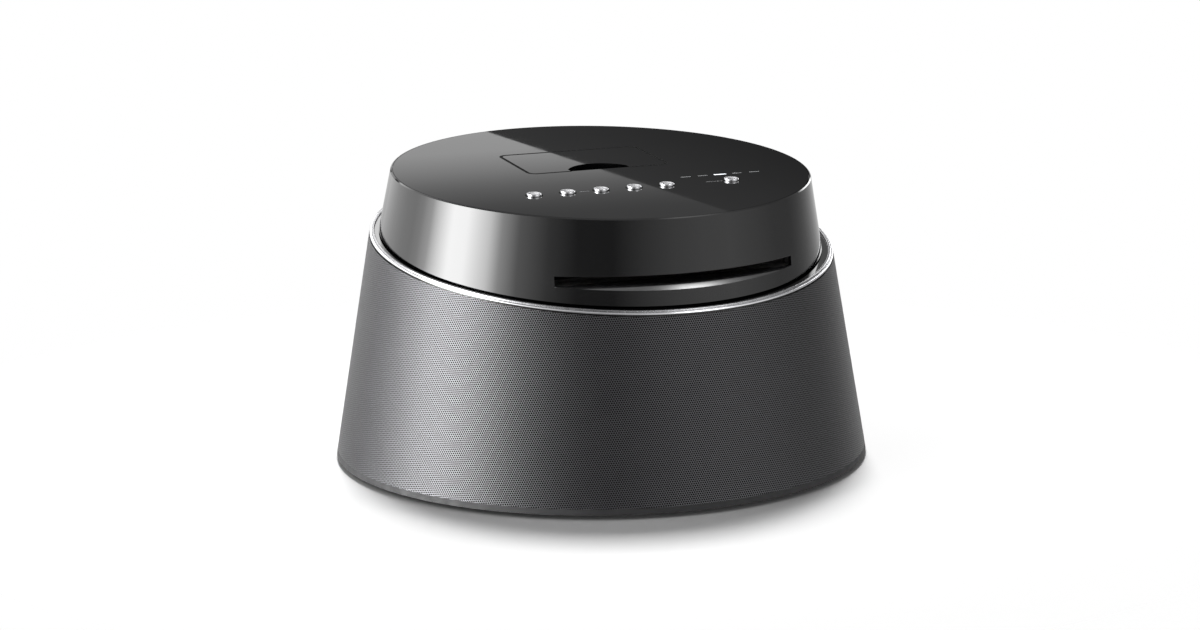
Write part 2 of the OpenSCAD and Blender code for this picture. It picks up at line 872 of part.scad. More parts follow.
module mains_inlet() color([0.05, 0.05, 0.05]) {
    body_l = 18;
    pin_gap = 8.6;
    at_rear(mains_at) {
        difference() {
            union() {
                translate([-mains_w / 2, -mains_h / 2, 0]) cube([mains_w, mains_h, 1.8]);
                translate([-mains_w / 2 + 2.2, -mains_h / 2 + 2.2, -body_l])
                    cube([mains_w - 4.4, mains_h - 4.4, body_l]);
            }
            translate([0, 0, -13]) linear_extrude(20) {
                for (x = [-pin_gap / 2, pin_gap / 2]) translate([x, 0]) circle(4.2);
                translate([-pin_gap / 2, -3]) square([pin_gap, 6]);
            }
        }
        for (x = [-pin_gap / 2, pin_gap / 2]) translate([x, 0, -13.5])
            cylinder(r = 1.2, h = 12);
    }
}

module phono_jacks() color([0.75, 0.65, 0.35]) {
    for (p = phono_at) at_rear(p) difference() {
        union() {
            translate([0, 0, -rear_t]) cylinder(r = phono_r + 0.2, h = rear_t);
            cylinder(r = phono_r, h = 8);
            translate([-5.5, -5.5, -rear_t - 10]) cube([11, 11, 10]);
        }
        translate([0, 0, -8]) cylinder(r = 1.7, h = 20);
    }
}

module line_in_jack() color([0.1, 0.3, 0.2]) {
    at_rear(line_at) difference() {
        union() {
            translate([0, 0, -rear_t]) cylinder(r = line_nut_r, h = rear_t + 1.5);
            translate([-5, -4.5, -rear_t - 12]) cube([10, 9, 12]);
        }
        translate([0, 0, -12.5]) cylinder(r = line_bore_r, h = 20);
    }
}

module aerial_socket() color([0.7, 0.7, 0.72]) {
    at_rear(aerial_at) {
        difference() {
            union() {
                translate([0, 0, -rear_t]) cylinder(r = aerial_r + 0.2, h = rear_t);
                cylinder(r = aerial_r, h = 9);
                translate([-6, -5.5, -rear_t - 10]) cube([12, 11, 10]);
            }
            translate([0, 0, -2]) cylinder(r = aerial_r - 0.9, h = 20);
        }
        translate([0, 0, -3]) ring(2.2, 1.2, 0, 10);
    }
}

module usb_socket() color([0.75, 0.75, 0.77]) {
    at_rear(usb_at) {
        difference() {
            translate([-usb_w / 2, -usb_h / 2, -14]) cube([usb_w, usb_h, 14.8]);
            translate([-usb_w / 2 + 0.4, -usb_h / 2 + 0.4, -13])
                cube([usb_w - 0.8, usb_h - 0.8, 20]);
        }
        translate([-usb_w / 2 + 1, 0.2, -13.2]) cube([usb_w - 2, 1.8, 12.5]);
    }
}

module bass_port() color([0.07, 0.07, 0.075]) {
    lip_t = 1.5;
    flange_r = port_r + port_wall + port_flare;
    at_rear([port_x, port_z]) rotate_extrude() polygon([
        [port_r, -port_l], [port_r + port_wall, -port_l], [port_r + port_wall, 0],
        [flange_r, 0], [flange_r, lip_t - 0.5], [flange_r - 0.5, lip_t],
        [port_r + 1, lip_t], [port_r, lip_t - 1]
    ]);
}

// ---------------------------------------------------------------- drivers

module driver_frame(side) color([0.12, 0.12, 0.12]) {
    back = -pad_d - basket_d;
    plate_in = coil_r + 1.5;
    at_driver(side) difference() {
        rotate_extrude() polygon([
            [basket_r - 2, -driver_recess], [driver_r, -driver_recess], [driver_r, -pad_d],
            [basket_r, -pad_d], [magnet_r - 1, back], [magnet_r - 1, back - 2],
            [plate_in, back - 2], [plate_in, back], [magnet_r - 3, back],
            [basket_r - 2, -pad_d]
        ]);
        for (a = [45:90:315]) rotate([0, 0, a]) translate([driver_screw_r, 0, -pad_d - 1])
            cylinder(r = screw_r + 0.2, h = flange_t + 2);
    }
}

module driver_magnets() color([0.2, 0.2, 0.21]) {
    top = -pad_d - basket_d - 2;
    for (side = [-1, 1]) at_driver(side) difference() {
        translate([0, 0, top - magnet_t]) cylinder(r = magnet_r, h = magnet_t);
        translate([0, 0, top - gap_d]) ring(coil_r + 1, coil_r - 1.2, 0, gap_d + 1);
    }
}

module cone(side) color([0.15, 0.15, 0.16]) {
    neck_z = -pad_d - 14;
    coil_z = -pad_d - basket_d - 2 - coil_in;
    at_driver(side) {
        rotate_extrude() polygon([
            [cone_r, -driver_recess], [cone_r, -driver_recess - cone_t],
            [coil_r + 0.4, neck_z], [coil_r + 0.4, coil_z], [coil_r - 0.4, coil_z],
            [coil_r - 0.4, neck_z + cone_t], [cone_r - 1.5, -driver_recess]
        ]);
        translate([0, 0, neck_z + cone_t]) cylinder(r = coil_r, h = 1.2);
    }
}

module cone_surrounds() color([0.05, 0.05, 0.05]) {
    roll_in = cone_r + 0.1;
    roll_r = 2;
    roll_t = 0.5;
    for (side = [-1, 1]) at_driver(side) translate([0, 0, -driver_recess]) rotate_extrude()
        difference() {
            intersection() {
                translate([roll_in + roll_r, 0]) circle(roll_r);
                translate([roll_in, 0]) square([2 * roll_r, roll_r]);
            }
            translate([roll_in + roll_r, 0]) circle(roll_r - roll_t);
        }
}

// ---------------------------------------------------------------- electronics

module main_board() color([0.1, 0.35, 0.2]) {
    block(-main_x, main_x, main_y0, rear_in - 2, board_z, board_z + board_t);
}

module heat_sink() color([0.6, 0.6, 0.62]) {
    pitch = (sink_w - fin_t) / (fins - 1);
    translate([sink_x - sink_w / 2, sink_y - sink_d / 2, board_z + board_t]) {
        cube([sink_w, sink_d, sink_base]);
        for (i = [0:fins - 1]) translate([i * pitch, 0, 0]) cube([fin_t, sink_d, sink_h]);
    }
}

module power_board() color([0.12, 0.3, 0.2]) {
    block(-power_x, power_x, power_y0, power_y1, board_z, board_z + board_t);
}

module transformer() color([0.45, 0.4, 0.2]) {
    translate([core_x, core_y, board_z + board_t]) {
        translate([-core_w / 2, -core_d / 2, 0]) cube([core_w, core_d, core_h]);
        translate([-coil_w / 2, -coil_d / 2, (core_h - coil_h) / 2])
            cube([coil_w, coil_d, coil_h]);
    }
}

// ---------------------------------------------------------------- loader

module loader_chassis() color([0.62, 0.63, 0.65]) {
    at_disc() difference() {
        union() {
            block(-half_w, half_w, loader_y0, loader_y1, floor_z, floor_z + sheet);
            for (side = [0, 1]) mirror([side, 0, 0])
                block(half_w - sheet, half_w, loader_y0, loader_y1, floor_z, cover_z);
        }
        for (x = [-post_x, post_x], y = post_y)
            translate([x, y, floor_z - 1]) cylinder(r = bush_waist + 0.1, h = sheet + 2);
        block(-28, 28, spindle_y - 14, rod_y1 - 6, floor_z - 1, floor_z + sheet + 1);
        axle(-half_w - 1, roller_y, roller_z, shaft_r + run, loader_w + 2);
        axle(half_w - sheet - 1, idler_y, idler_z, shaft_r, sheet + 2);
        axle(half_w - sheet - 1, pinion_y, pinion_z, motor_boss_r + 0.1, sheet + 2);
    }
    at_disc() axle(half_w - sheet, idler_y, idler_z, shaft_r, big_gear_x + gear_w + 0.6 - half_w
        + sheet);
}

module loader_cover() color([0.66, 0.67, 0.69]) {
    ear_h = arm_pivot_z + 2.5 - cover_z;
    at_disc() difference() {
        union() {
            block(-half_w, half_w, loader_y0, loader_y1, cover_z, cover_z + sheet);
            for (side = [0, 1]) mirror([side, 0, 0]) block(arm_w / 2 + 2, arm_w / 2 + 2 + sheet,
                arm_pivot_y - 4, arm_pivot_y + 4, cover_z, cover_z + ear_h);
        }
        translate([0, spindle_y, cover_z - 1]) cylinder(r = 18, h = sheet + 2);
        axle(-arm_w, arm_pivot_y, arm_pivot_z, shaft_r + run, 2 * arm_w);
    }
}

module loader_bushes() color([0.1, 0.1, 0.12]) {
    at_disc() for (x = [-post_x, post_x], y = post_y) translate([x, y, floor_z])
        rotate_extrude() polygon([
            [screw_shoulder, -bush_flange], [bush_r, -bush_flange], [bush_r, 0],
            [bush_waist, 0], [bush_waist, sheet], [bush_r, sheet],
            [bush_r, sheet + bush_flange], [screw_shoulder, sheet + bush_flange]
        ]);
}

module loader_screws() color([0.7, 0.7, 0.72]) {
    shoulder_l = sheet + 2 * bush_flange;
    for (x = [-post_x, post_x], y = post_y) translate([x, y, post_top]) {
        cylinder(r = screw_shoulder, h = shoulder_l);
        translate([0, 0, shoulder_l]) difference() {
            cylinder(r = loader_head_r, h = loader_head_h);
            for (a = [0, 90]) rotate([0, 0, a]) translate([-2, -0.5, loader_head_h / 2])
                cube([4, 1, 2]);
        }
        translate([0, 0, -loader_thread_l])
            cylinder(r = screw_shoulder - 0.4, h = loader_thread_l);
    }
}

module loading_motor() color([0.55, 0.56, 0.58]) {
    at_disc() difference() {
        union() {
            axle(half_w - sheet - motor_l, pinion_y, pinion_z, motor_r, motor_l);
            axle(half_w - sheet - 1, pinion_y, pinion_z, motor_boss_r, sheet + 1);
        }
        axle(half_w - motor_shaft_in - 1, pinion_y, pinion_z, motor_shaft_r + run, motor_l);
    }
}

// Involute flank: half of a tooth's angle at radius r, in degrees
function inv(a) = tan(a) * 180 / PI - a;
function half_tooth(n, r) =
    let (rp = gear_m * n / 2, rb = rp * cos(20), back = 0.94)
    90 / n * back + inv(20) - (r > rb ? inv(acos(rb / r)) : 0);

module gear_outline(n) {
    rp = gear_m * n / 2;
    rb = rp * cos(20);
    root = rp - 1.25 * gear_m;
    radii = [root, max(rb, root) * 0.6 + rp * 0.4, rp, rp + 0.45 * gear_m, rp + 0.85 * gear_m];
    polygon([for (i = [0:n - 1], s = [-1, 1], k = [0:4])
        let (r = radii[s < 0 ? k : 4 - k], a = i * 360 / n + s * half_tooth(n, r))
        [r * cos(a), r * sin(a)]]);
}

// A gear on an axle along X; turn sets where its first tooth points
module gear(n, x, y, z, turn, bore) {
    translate([x, y, z]) rotate([90, 0, 90]) difference() {
        rotate([0, 0, turn]) linear_extrude(gear_w) gear_outline(n);
        translate([0, 0, -1]) cylinder(r = bore, h = gear_w + 2);
    }
}

module roller_gear() color([0.9, 0.9, 0.88]) {
    at_disc() gear(teeth_roller, gear_x, roller_y, roller_z, -idler_drop, shaft_r);
}

module idler_gear() color([0.85, 0.85, 0.83]) {
    at_disc() {
        gear(teeth_small, gear_x, idler_y, idler_z, small_turn, shaft_r + run);
        gear(teeth_big, big_gear_x, idler_y, idler_z, -pinion_drop, shaft_r + run);
        translate([gear_x + gear_w - 0.01, idler_y, idler_z]) rotate([0, 90, 0])
            ring(3, shaft_r + run, 0, 0.52);
    }
}

module loading_pinion() color([0.9, 0.88, 0.8]) {
    at_disc() {
        gear(teeth_pinion, big_gear_x, pinion_y, pinion_z, pinion_turn, motor_shaft_r / 2);
        axle(half_w - motor_shaft_in, pinion_y, pinion_z, motor_shaft_r,
            big_gear_x + gear_w - half_w + motor_shaft_in);
    }
}

module loading_roller() color([0.06, 0.06, 0.06]) {
    end_gap = 2;
    roller_l = half_w - sheet - end_gap;
    at_disc() translate([0, roller_y, roller_z]) rotate([0, 90, 0]) rotate_extrude()
        polygon([
            [shaft_r, -roller_l], [roller_r, -roller_l], [roller_r - 0.5, 0],
            [roller_r, roller_l], [shaft_r, roller_l]
        ]);
}

module roller_shaft() color([0.75, 0.75, 0.77]) {
    at_disc() axle(-half_w - 1, roller_y, roller_z, shaft_r, gear_x + gear_w + half_w + 1);
}

// ---------------------------------------------------------------- traverse

module traverse_frame() color([0.2, 0.2, 0.22]) {
    plate_t = 1.2;
    block_h = rod_z + rod_r + 1.5 - plate_z;
    at_disc() difference() {
        union() {
            difference() {
                block(-plate_x, plate_x, spindle_y - 20, rod_y1 + 1, plate_z, plate_z + plate_t);
                block(-sled_x + 1, sled_x - 1, rod_y0 + block_l, rod_y1 - block_l,
                    plate_z - 1, plate_z + plate_t + 1);
            }
            for (x = [-rod_x, rod_x, screw_x], y = [rod_y0, rod_y1 - block_l])
                block(x - 3.5, x + 3.5, y, y + block_l, plate_z, plate_z + block_h);
            for (x = [-plate_x + 4, plate_x - 4], y = [spindle_y - 16, rod_y1 - 3])
                translate([x, y, floor_z + sheet]) cylinder(r = 3,
                    h = plate_z - floor_z - sheet + 0.5);
        }
        for (x = [-rod_x, rod_x]) translate([x, rod_y0 - 1, rod_z]) rotate([-90, 0, 0])
            cylinder(r = rod_r, h = rod_y1 - rod_y0 + 2);
        translate([screw_x, rod_y0 - 1, rod_z]) rotate([-90, 0, 0])
            cylinder(r = rod_r + run, h = rod_y1 - rod_y0 + 2);
    }
}

module guide_rods() color([0.8, 0.8, 0.82]) {
    at_disc() for (x = [-rod_x, rod_x]) translate([x, rod_y0, rod_z]) rotate([-90, 0, 0])
        cylinder(r = rod_r, h = rod_y1 - rod_y0);
}

module spindle_motor() color([0.6, 0.6, 0.62]) {
    plate_top = plate_z + 1.2;
    at_disc() translate([0, spindle_y, 0]) difference() {
        translate([0, 0, plate_top]) cylinder(r = can_r, h = can_top - plate_top);
        translate([0, 0, plate_top + 1]) cylinder(r = spindle_r + run, h = 20);
    }
}

module turntable() color([0.12, 0.12, 0.13]) {
    at_disc() translate([0, spindle_y, 0]) rotate_extrude() polygon([
        [0, can_top - 6], [spindle_r, can_top - 6], [spindle_r, can_top + 0.4],
        [table_r - 1, can_top + 0.4], [table_r, can_top + 1], [table_r, -disc_t / 2],
        [hub_r, -disc_t / 2], [hub_r, disc_t / 2], [hub_r - 1.2, disc_t / 2 + 1],
        [0, disc_t / 2 + 1]
    ]);
}

module clamp_arm() color([0.6, 0.61, 0.63]) {
    at_disc() difference() {
        union() {
            block(-arm_w / 2, arm_w / 2, spindle_y, arm_pivot_y, arm_z, arm_z + sheet);
            translate([0, spindle_y, arm_z]) cylinder(r = puck_hole + 5, h = sheet);
            axle(-arm_w / 2, arm_pivot_y, arm_pivot_z, 2.4, arm_w);
            axle(-arm_w / 2 - 3.6, arm_pivot_y, arm_pivot_z, shaft_r, arm_w + 7.2);
        }
        translate([0, spindle_y, arm_z - 1]) cylinder(r = puck_hole, h = sheet + 2);
    }
}

module clamp_puck() color([0.1, 0.1, 0.1]) {
    low = disc_t / 2 + 1.2;
    at_disc() translate([0, spindle_y, 0]) rotate_extrude() polygon([
        [0, low], [13, low], [13, low + 1.6], [puck_hole - 1, low + 1.6],
        [puck_hole - 1, arm_z + sheet + 0.5], [puck_hole + 3, arm_z + sheet + 0.5],
        [puck_hole + 3, arm_z + sheet + 1.5], [0, arm_z + sheet + 1.5]
    ]);
}

module pickup_sled() color([0.25, 0.25, 0.28]) {
    low = rod_z - 3;
    high = rod_z + 3.5;
    nut_y = sled_y0 + 5;
    lens_y = sled_y0 + sled_l / 2;
    at_disc() difference() {
        union() {
            block(-sled_x + 1.5, sled_x - 1.5, sled_y0, sled_y0 + sled_l, low, high);
            block(screw_x - 3, -sled_x + 2, nut_y, nut_y + 8, low + 1, high - 1);
            translate([0, lens_y, high - 1]) cylinder(r = 6, h = 2);
            translate([0, lens_y, high]) cylinder(r1 = 3.4, r2 = 3, h = -disc_t / 2 - 1.2 - high);
        }
        for (x = [-rod_x, rod_x]) translate([x, sled_y0 - 1, rod_z]) rotate([-90, 0, 0])
            cylinder(r = rod_r + run, h = sled_l + 2);
        translate([screw_x, nut_y - 1, rod_z]) rotate([-90, 0, 0])
            cylinder(r = rod_r + run, h = 10);
    }
}

module lead_screw() color([0.78, 0.78, 0.8]) {
    at_disc() translate([screw_x, rod_y0 - 6, rod_z]) rotate([-90, 0, 0])
        cylinder(r = rod_r, h = rod_y1 - rod_y0 + 6);
}

module sled_motor() color([0.5, 0.5, 0.52]) {
    sled_motor_r = 4.6;
    at_disc() translate([screw_x, rod_y0 - 16, rod_z]) rotate([-90, 0, 0]) difference() {
        cylinder(r = sled_motor_r, h = 14);
        translate([0, 0, 9]) cylinder(r = rod_r + run, h = 10);
    }
}

base_plate();
rubber_feet();
case_screws();
cabinet();
grille();
trim_ring();
deck_ring();
drum_shell();
slot_mouth();
top_panel();
dock_well();
dock_connector();
dock_door();
door_pins();
button(key_x[0]);  // button_1
button(key_x[1]);  // button_2
button(key_x[2]);  // button_3
button(key_x[3]);  // button_4
button(key_x[4]);  // button_5
button(key_x[5]);  // source_button
indicator_lenses();
key_board();
key_switches();
slot_felts();
rear_panel();
mains_inlet();
phono_jacks();
line_in_jack();
aerial_socket();
usb_socket();
bass_port();
driver_frame(-1);  // left_driver_frame
driver_frame(1);  // right_driver_frame
cone(-1);  // left_cone
cone(1);  // right_cone
cone_surrounds();
driver_magnets();
main_board();
heat_sink();
power_board();
transformer();
loader_chassis();
loader_cover();
loader_bushes();
loader_screws();
loading_motor();
loading_pinion();
idler_gear();
roller_gear();
loading_roller();
roller_shaft();
traverse_frame();
guide_rods();
spindle_motor();
turntable();
clamp_arm();
clamp_puck();
pickup_sled();
lead_screw();
sled_motor();
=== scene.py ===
"""Round disc player with a top dock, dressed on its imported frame.

Metres, +Z up, front towards -Y. The body is a cone wrapped in a perforated
sheet, the drum above it is a second cone whose top slopes to the front.
"""
import math

import bmesh
import bpy
from bpy.props import FloatProperty, FloatVectorProperty, IntProperty, PointerProperty
from mathutils import Matrix, Vector


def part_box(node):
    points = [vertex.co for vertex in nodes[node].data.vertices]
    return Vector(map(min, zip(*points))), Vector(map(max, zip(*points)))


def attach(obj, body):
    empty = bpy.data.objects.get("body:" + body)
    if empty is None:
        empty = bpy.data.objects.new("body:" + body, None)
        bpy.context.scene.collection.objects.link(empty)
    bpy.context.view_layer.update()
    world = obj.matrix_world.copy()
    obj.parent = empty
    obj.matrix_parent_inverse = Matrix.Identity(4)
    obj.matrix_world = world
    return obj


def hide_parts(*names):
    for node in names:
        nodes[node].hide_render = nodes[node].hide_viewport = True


bl_info = {
    "name": "Round disc player",
    "version": (1, 0, 0),
    "blender": (4, 5, 0),
    "location": "View3D > Sidebar > Player",
    "description": "Builds and finishes the pieces of a round disc player",
    "category": "Object",
}

MM = 0.001
UP = Vector((0, 0, 1))
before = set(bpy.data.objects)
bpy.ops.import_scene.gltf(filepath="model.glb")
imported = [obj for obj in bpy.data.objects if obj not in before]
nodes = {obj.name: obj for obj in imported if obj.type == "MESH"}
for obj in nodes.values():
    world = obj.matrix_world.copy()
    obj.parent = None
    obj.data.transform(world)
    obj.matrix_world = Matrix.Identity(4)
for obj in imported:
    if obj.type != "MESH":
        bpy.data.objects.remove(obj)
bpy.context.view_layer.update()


# ---- settings

class PlayerSizes(bpy.types.PropertyGroup):
    base_radius: FloatProperty(
        name="Base radius", description="Radius of the body at its bottom edge",
        default=0.140, unit="LENGTH")
    foot_height: FloatProperty(
        name="Foot height", description="Height of the body's bottom edge",
        default=0.0025, unit="LENGTH")
    base_top: FloatProperty(
        name="Base top", description="Height where the perforated sheet starts",
        default=0.0055, unit="LENGTH")
    body_lean: FloatProperty(
        name="Body lean", description="Lean of the body's wall towards the axis",
        default=math.radians(9.6), unit="ROTATION")
    ring_height: FloatProperty(
        name="Bead height", description="Height of the bead's lower edge on the axis",
        default=0.1152, unit="LENGTH")
    ring_tilt: FloatProperty(
        name="Bead slope", description="Slope of the bead, down towards the front",
        default=math.radians(8.2), unit="ROTATION")
    top_height: FloatProperty(
        name="Panel height", description="Height of the top panel's centre",
        default=0.1508, unit="LENGTH")
    top_shift: FloatProperty(
        name="Panel shift", description="Top panel towards the front",
        default=0.0029, unit="LENGTH")
    top_tilt: FloatProperty(
        name="Panel slope", description="Slope of the top panel, down towards the front",
        default=math.radians(4.2), unit="ROTATION")
    sheet_thickness: FloatProperty(
        name="Sheet thickness", description="Thickness of the perforated sheet",
        default=0.0008, unit="LENGTH")
    sheet_groove: FloatProperty(
        name="Sheet groove", description="Gap between the sheet and the bead",
        default=0.0007, unit="LENGTH")
    panel_radius: FloatProperty(
        name="Drum top radius", description="Outer radius of the drum's top edge",
        default=0.10926, unit="LENGTH")
    drum_lean: FloatProperty(
        name="Drum lean", description="Lean of the drum's wall towards its axis",
        default=math.radians(10.7), unit="ROTATION")
    slot_half: FloatProperty(
        name="Slot half width", description="Half the width of the disc slot",
        default=0.0642, unit="LENGTH")
    slot_top: FloatProperty(
        name="Slot top", description="Height of the slot's upper edge",
        default=0.1156, unit="LENGTH")
    throat_floor: FloatProperty(
        name="Throat floor", description="Height of the floor at the throat",
        default=0.1106, unit="LENGTH")
    throat_place: FloatProperty(
        name="Throat place", description="Throat in front of the axis",
        default=0.0965, unit="LENGTH")
    hole_pitch: FloatProperty(
        name="Hole pitch", description="Distance between the sheet's holes",
        default=0.0012, unit="LENGTH")
    hole_share: FloatProperty(
        name="Hole size", description="Radius of a hole as a share of the pitch",
        default=0.4, subtype="FACTOR")
    button_radius: FloatProperty(
        name="Button radius", description="Radius of a button's cap",
        default=0.0037, unit="LENGTH")
    button_height: FloatProperty(
        name="Button height", description="Height of a button above the panel",
        default=0.0011, unit="LENGTH")
    button_row: FloatProperty(
        name="Button row", description="Buttons in front of the panel's centre",
        default=0.044, unit="LENGTH")
    lamp_row: FloatProperty(
        name="Lamp row", description="Lamps in front of the panel's centre",
        default=0.0304, unit="LENGTH")
    lamp_pitch: FloatProperty(
        name="Lamp spacing", description="Distance between source lamps",
        default=0.0098, unit="LENGTH")
    door_half: FloatProperty(
        name="Door half width", description="Half the width of the dock door",
        default=0.039, unit="LENGTH")
    door_front: FloatProperty(
        name="Door front", description="Door's front edge behind the panel's centre",
        default=0.0006, unit="LENGTH")
    door_back: FloatProperty(
        name="Door back", description="Door's rear edge behind the panel's centre",
        default=0.0461, unit="LENGTH")
    door_corner: FloatProperty(
        name="Door corner", description="Radius of the door's corners",
        default=0.004, unit="LENGTH")
    door_seam: FloatProperty(
        name="Door seam", description="Width of the gap round the door",
        default=0.00025, unit="LENGTH")
    notch_half: FloatProperty(
        name="Notch half width", description="Half the width of the door's finger notch",
        default=0.0165, unit="LENGTH")
    around: IntProperty(
        name="Steps around", description="Steps in one turn of the large rings",
        default=240, min=96, max=480)


class PlayerFinish(bpy.types.PropertyGroup):
    gloss: FloatVectorProperty(
        name="Gloss black", description="Colour of the drum, the ledge and the top panel",
        default=(0.005, 0.005, 0.0055), subtype="COLOR")
    sheet: FloatVectorProperty(
        name="Sheet paint", description="Colour of the perforated sheet's metallic paint",
        default=(0.13, 0.13, 0.136), subtype="COLOR")
    bright: FloatVectorProperty(
        name="Bright metal", description="Colour of the bead and of the buttons",
        default=(0.72, 0.72, 0.74), subtype="COLOR")
    lamp: FloatVectorProperty(
        name="Lamp", description="Colour of the lit source lamp",
        default=(0.9, 0.95, 1.0), subtype="COLOR")
    moulded: FloatVectorProperty(
        name="Moulded plastic", description="Colour of the base plate and the rear panel",
        default=(0.012, 0.012, 0.013), subtype="COLOR")


class PlayerStudio(bpy.types.PropertyGroup):
    camera_place: FloatVectorProperty(
        name="Camera", description="Position of the camera",
        default=(-0.579, -1.377, 0.385), subtype="XYZ", unit="LENGTH")
    camera_target: FloatVectorProperty(
        name="Target", description="Point that the camera looks at",
        default=(0.0, 0.0, 0.0727), subtype="XYZ", unit="LENGTH")
    camera_roll: FloatProperty(
        name="Roll", description="Roll of the camera about its view",
        default=math.radians(-0.571), unit="ROTATION")
    lens: FloatProperty(
        name="Lens", description="Focal length in millimetres", default=86.86)
    ambient: FloatProperty(
        name="Ambient", description="Even light from all round", default=0.2)
    key: FloatProperty(
        name="Key light", description="Power of the large lamp on the left, in watts",
        default=5.0)
    overhead: FloatProperty(
        name="Overhead light", description="Power of the lamp above and behind, in watts",
        default=109.0)
    floor_white: FloatProperty(
        name="Floor white", description="Whiteness of the floor as the camera sees it",
        default=1.0)
    floor_radius: FloatProperty(
        name="Floor radius", description="Where the floor starts to fade to white",
        default=0.22, unit="LENGTH")


# ---- node helpers

class Nodes:
    """Adds nodes to a tree. A node or a tuple (node, output) given as an input is linked."""

    def __init__(self, tree):
        self.tree = tree
        tree.nodes.clear()

    def add(self, kind, inputs=None, **settings):
        node = self.tree.nodes.new(kind)
        for name, value in settings.items():
            setattr(node, name, value)
        for name, value in (inputs or {}).items():
            self.put(node, name, value)
        return node

    def put(self, node, name, value):
        socket = node.inputs[name]
        if isinstance(value, bpy.types.Node):
            value = (value, 0)
        if isinstance(value, tuple) and isinstance(value[0], bpy.types.Node):
            self.tree.links.new(value[0].outputs[value[1]], socket)
        else:
            socket.default_value = value

    def math(self, operation, *values):
        return self.add("ShaderNodeMath", dict(enumerate(values)), operation=operation)

    def vector(self, operation, *values):
        return self.add("ShaderNodeVectorMath", dict(enumerate(values)), operation=operation)

    def span(self, value, low, high, to_low=0.0, to_high=1.0, smooth=False):
        return self.add("ShaderNodeMapRange",
                        {"Value": value, "From Min": low, "From Max": high,
                         "To Min": to_low, "To Max": to_high},
                        interpolation_type="SMOOTHSTEP" if smooth else "LINEAR")

    def mix(self, factor, one, two, **settings):
        mixed = self.add("ShaderNodeMix", {"Factor": factor, "A": one, "B": two}, **settings)
        return mixed, "Result"

    def ramp(self, value, stops):
        """Colours or grey levels at places from 0 to 1."""
        node = self.add("ShaderNodeValToRGB", {"Fac": value})
        elements = node.color_ramp.elements
        while len(elements) < len(stops):
            elements.new(0.5)
        for element, (place, level) in zip(elements, stops):
            element.position = place
            colour = (level,) * 3 if isinstance(level, (int, float)) else level
            element.color = (*colour, 1.0)
        return node

    def object_place(self):
        return self.add("ShaderNodeTexCoord"), "Object"

    def noise(self, size, detail=3.0, roughness=0.5, stretch=None):
        """Noise whose blobs are about size metres across, in object coordinates."""
        source = self.object_place()
        if stretch:
            source = self.add("ShaderNodeMapping", {"Vector": source, "Scale": stretch})
        return self.add("ShaderNodeTexNoise", {
            "Vector": source, "Scale": 1.0 / size, "Detail": detail, "Roughness": roughness})

    def soft_edge(self, radius):
        """A normal that rounds the sharp edges of a shape."""
        return self.add("ShaderNodeBevel", {"Radius": radius}, samples=4), "Normal"


def times(colour, factor):
    return [channel * factor for channel in colour]


class Look(Nodes):
    """A material with one principled shader, whose constants are on its own sockets."""

    def __init__(self, name, colour, roughness, metallic=0.0, **sockets):
        self.colour = colour
        self.material = bpy.data.materials.new(name)
        self.material.use_nodes = True
        self.material.diffuse_color = (*colour, 1.0)
        super().__init__(self.material.node_tree)
        self.shader = self.add("ShaderNodeBsdfPrincipled", {
            "Base Color": (*colour, 1.0), "Roughness": roughness, "Metallic": metallic})
        for socket, value in sockets.items():
            self.set(socket.replace("_", " "), value)
        output = self.add("ShaderNodeOutputMaterial", {"Surface": self.shader})
        output.is_active_output = True

    def set(self, socket, value):
        self.put(self.shader, socket, value)

    def relief(self, height, depth, normal=None):
        """Raises the surface by a pattern, on top of another normal."""
        bump = self.add("ShaderNodeBump", {"Height": height, "Distance": depth})
        if normal:
            self.put(bump, "Normal", normal)
        self.set("Normal", bump)

    def shade(self, spread, size, **noise):
        """Lets the colour wander by a share of itself."""
        stops = [(0.3, times(self.colour, 1 - spread)), (0.7, times(self.colour, 1 + spread))]
        self.set("Base Color", self.ramp(self.noise(size, **noise), stops))

    def roughness(self, low, high, size, **noise):
        """Lets the roughness wander between two values."""
        self.set("Roughness", self.span(self.noise(size, **noise), 0.35, 0.65, low, high))


# ---- finishes

def gloss_black():
    look = Look("gloss_black", bpy.context.scene.player_finish.gloss, 0.01, IOR=1.5)
    look.shade(0.08, 0.03)
    look.roughness(0.006, 0.014, 0.012, detail=5.0)
    return look.material


def mouth_black():
    """The same plastic inside the slot, where the mould leaves it satin."""
    look = Look("mouth_black", (0.03, 0.03, 0.032), 0.2, IOR=2.0)
    look.shade(0.1, 0.01)
    look.roughness(0.18, 0.22, 0.006)
    return look.material


def painted_seam_shade():
    """Painted shade for a narrow gap, laid on as a dark film, which mirrors next to nothing."""
    look = Look("painted_seam_shade", (0.006, 0.006, 0.006), 0.6, Specular_IOR_Level=0.01)
    look.shade(0.2, 0.01)
    look.roughness(0.55, 0.65, 0.004)
    return look.material


def plastic(name, colour, roughness=0.5, grain=0.4 * MM, depth=0.03 * MM):
    """Plastic from a spark-eroded mould: an even fine grain."""
    look = Look(name, colour, roughness, IOR=1.5)
    look.shade(0.12, 0.02)
    look.roughness(roughness - 0.06, roughness + 0.08, 0.006)
    pits = look.noise(grain, detail=2.0)
    look.relief(pits, depth, look.soft_edge(0.25 * MM))
    return look.material


def rubber(name, colour):
    look = Look(name, colour, 0.8, IOR=1.52, Specular_IOR_Level=0.35)
    look.shade(0.25, 0.004, detail=6.0)
    look.roughness(0.7, 0.9, 0.003)
    look.relief(look.noise(0.25 * MM, detail=4.0), 0.03 * MM)
    return look.material


def felt():
    look = Look("slot_felt", (0.012, 0.012, 0.012), 0.95, Sheen_Weight=0.4,
                Sheen_Roughness=0.6)
    look.shade(0.5, 0.3 * MM, detail=5.0)
    fibres = look.noise(0.15 * MM, detail=6.0, stretch=(0.35, 1.0, 1.0))
    look.relief(fibres, 0.12 * MM)
    return look.material


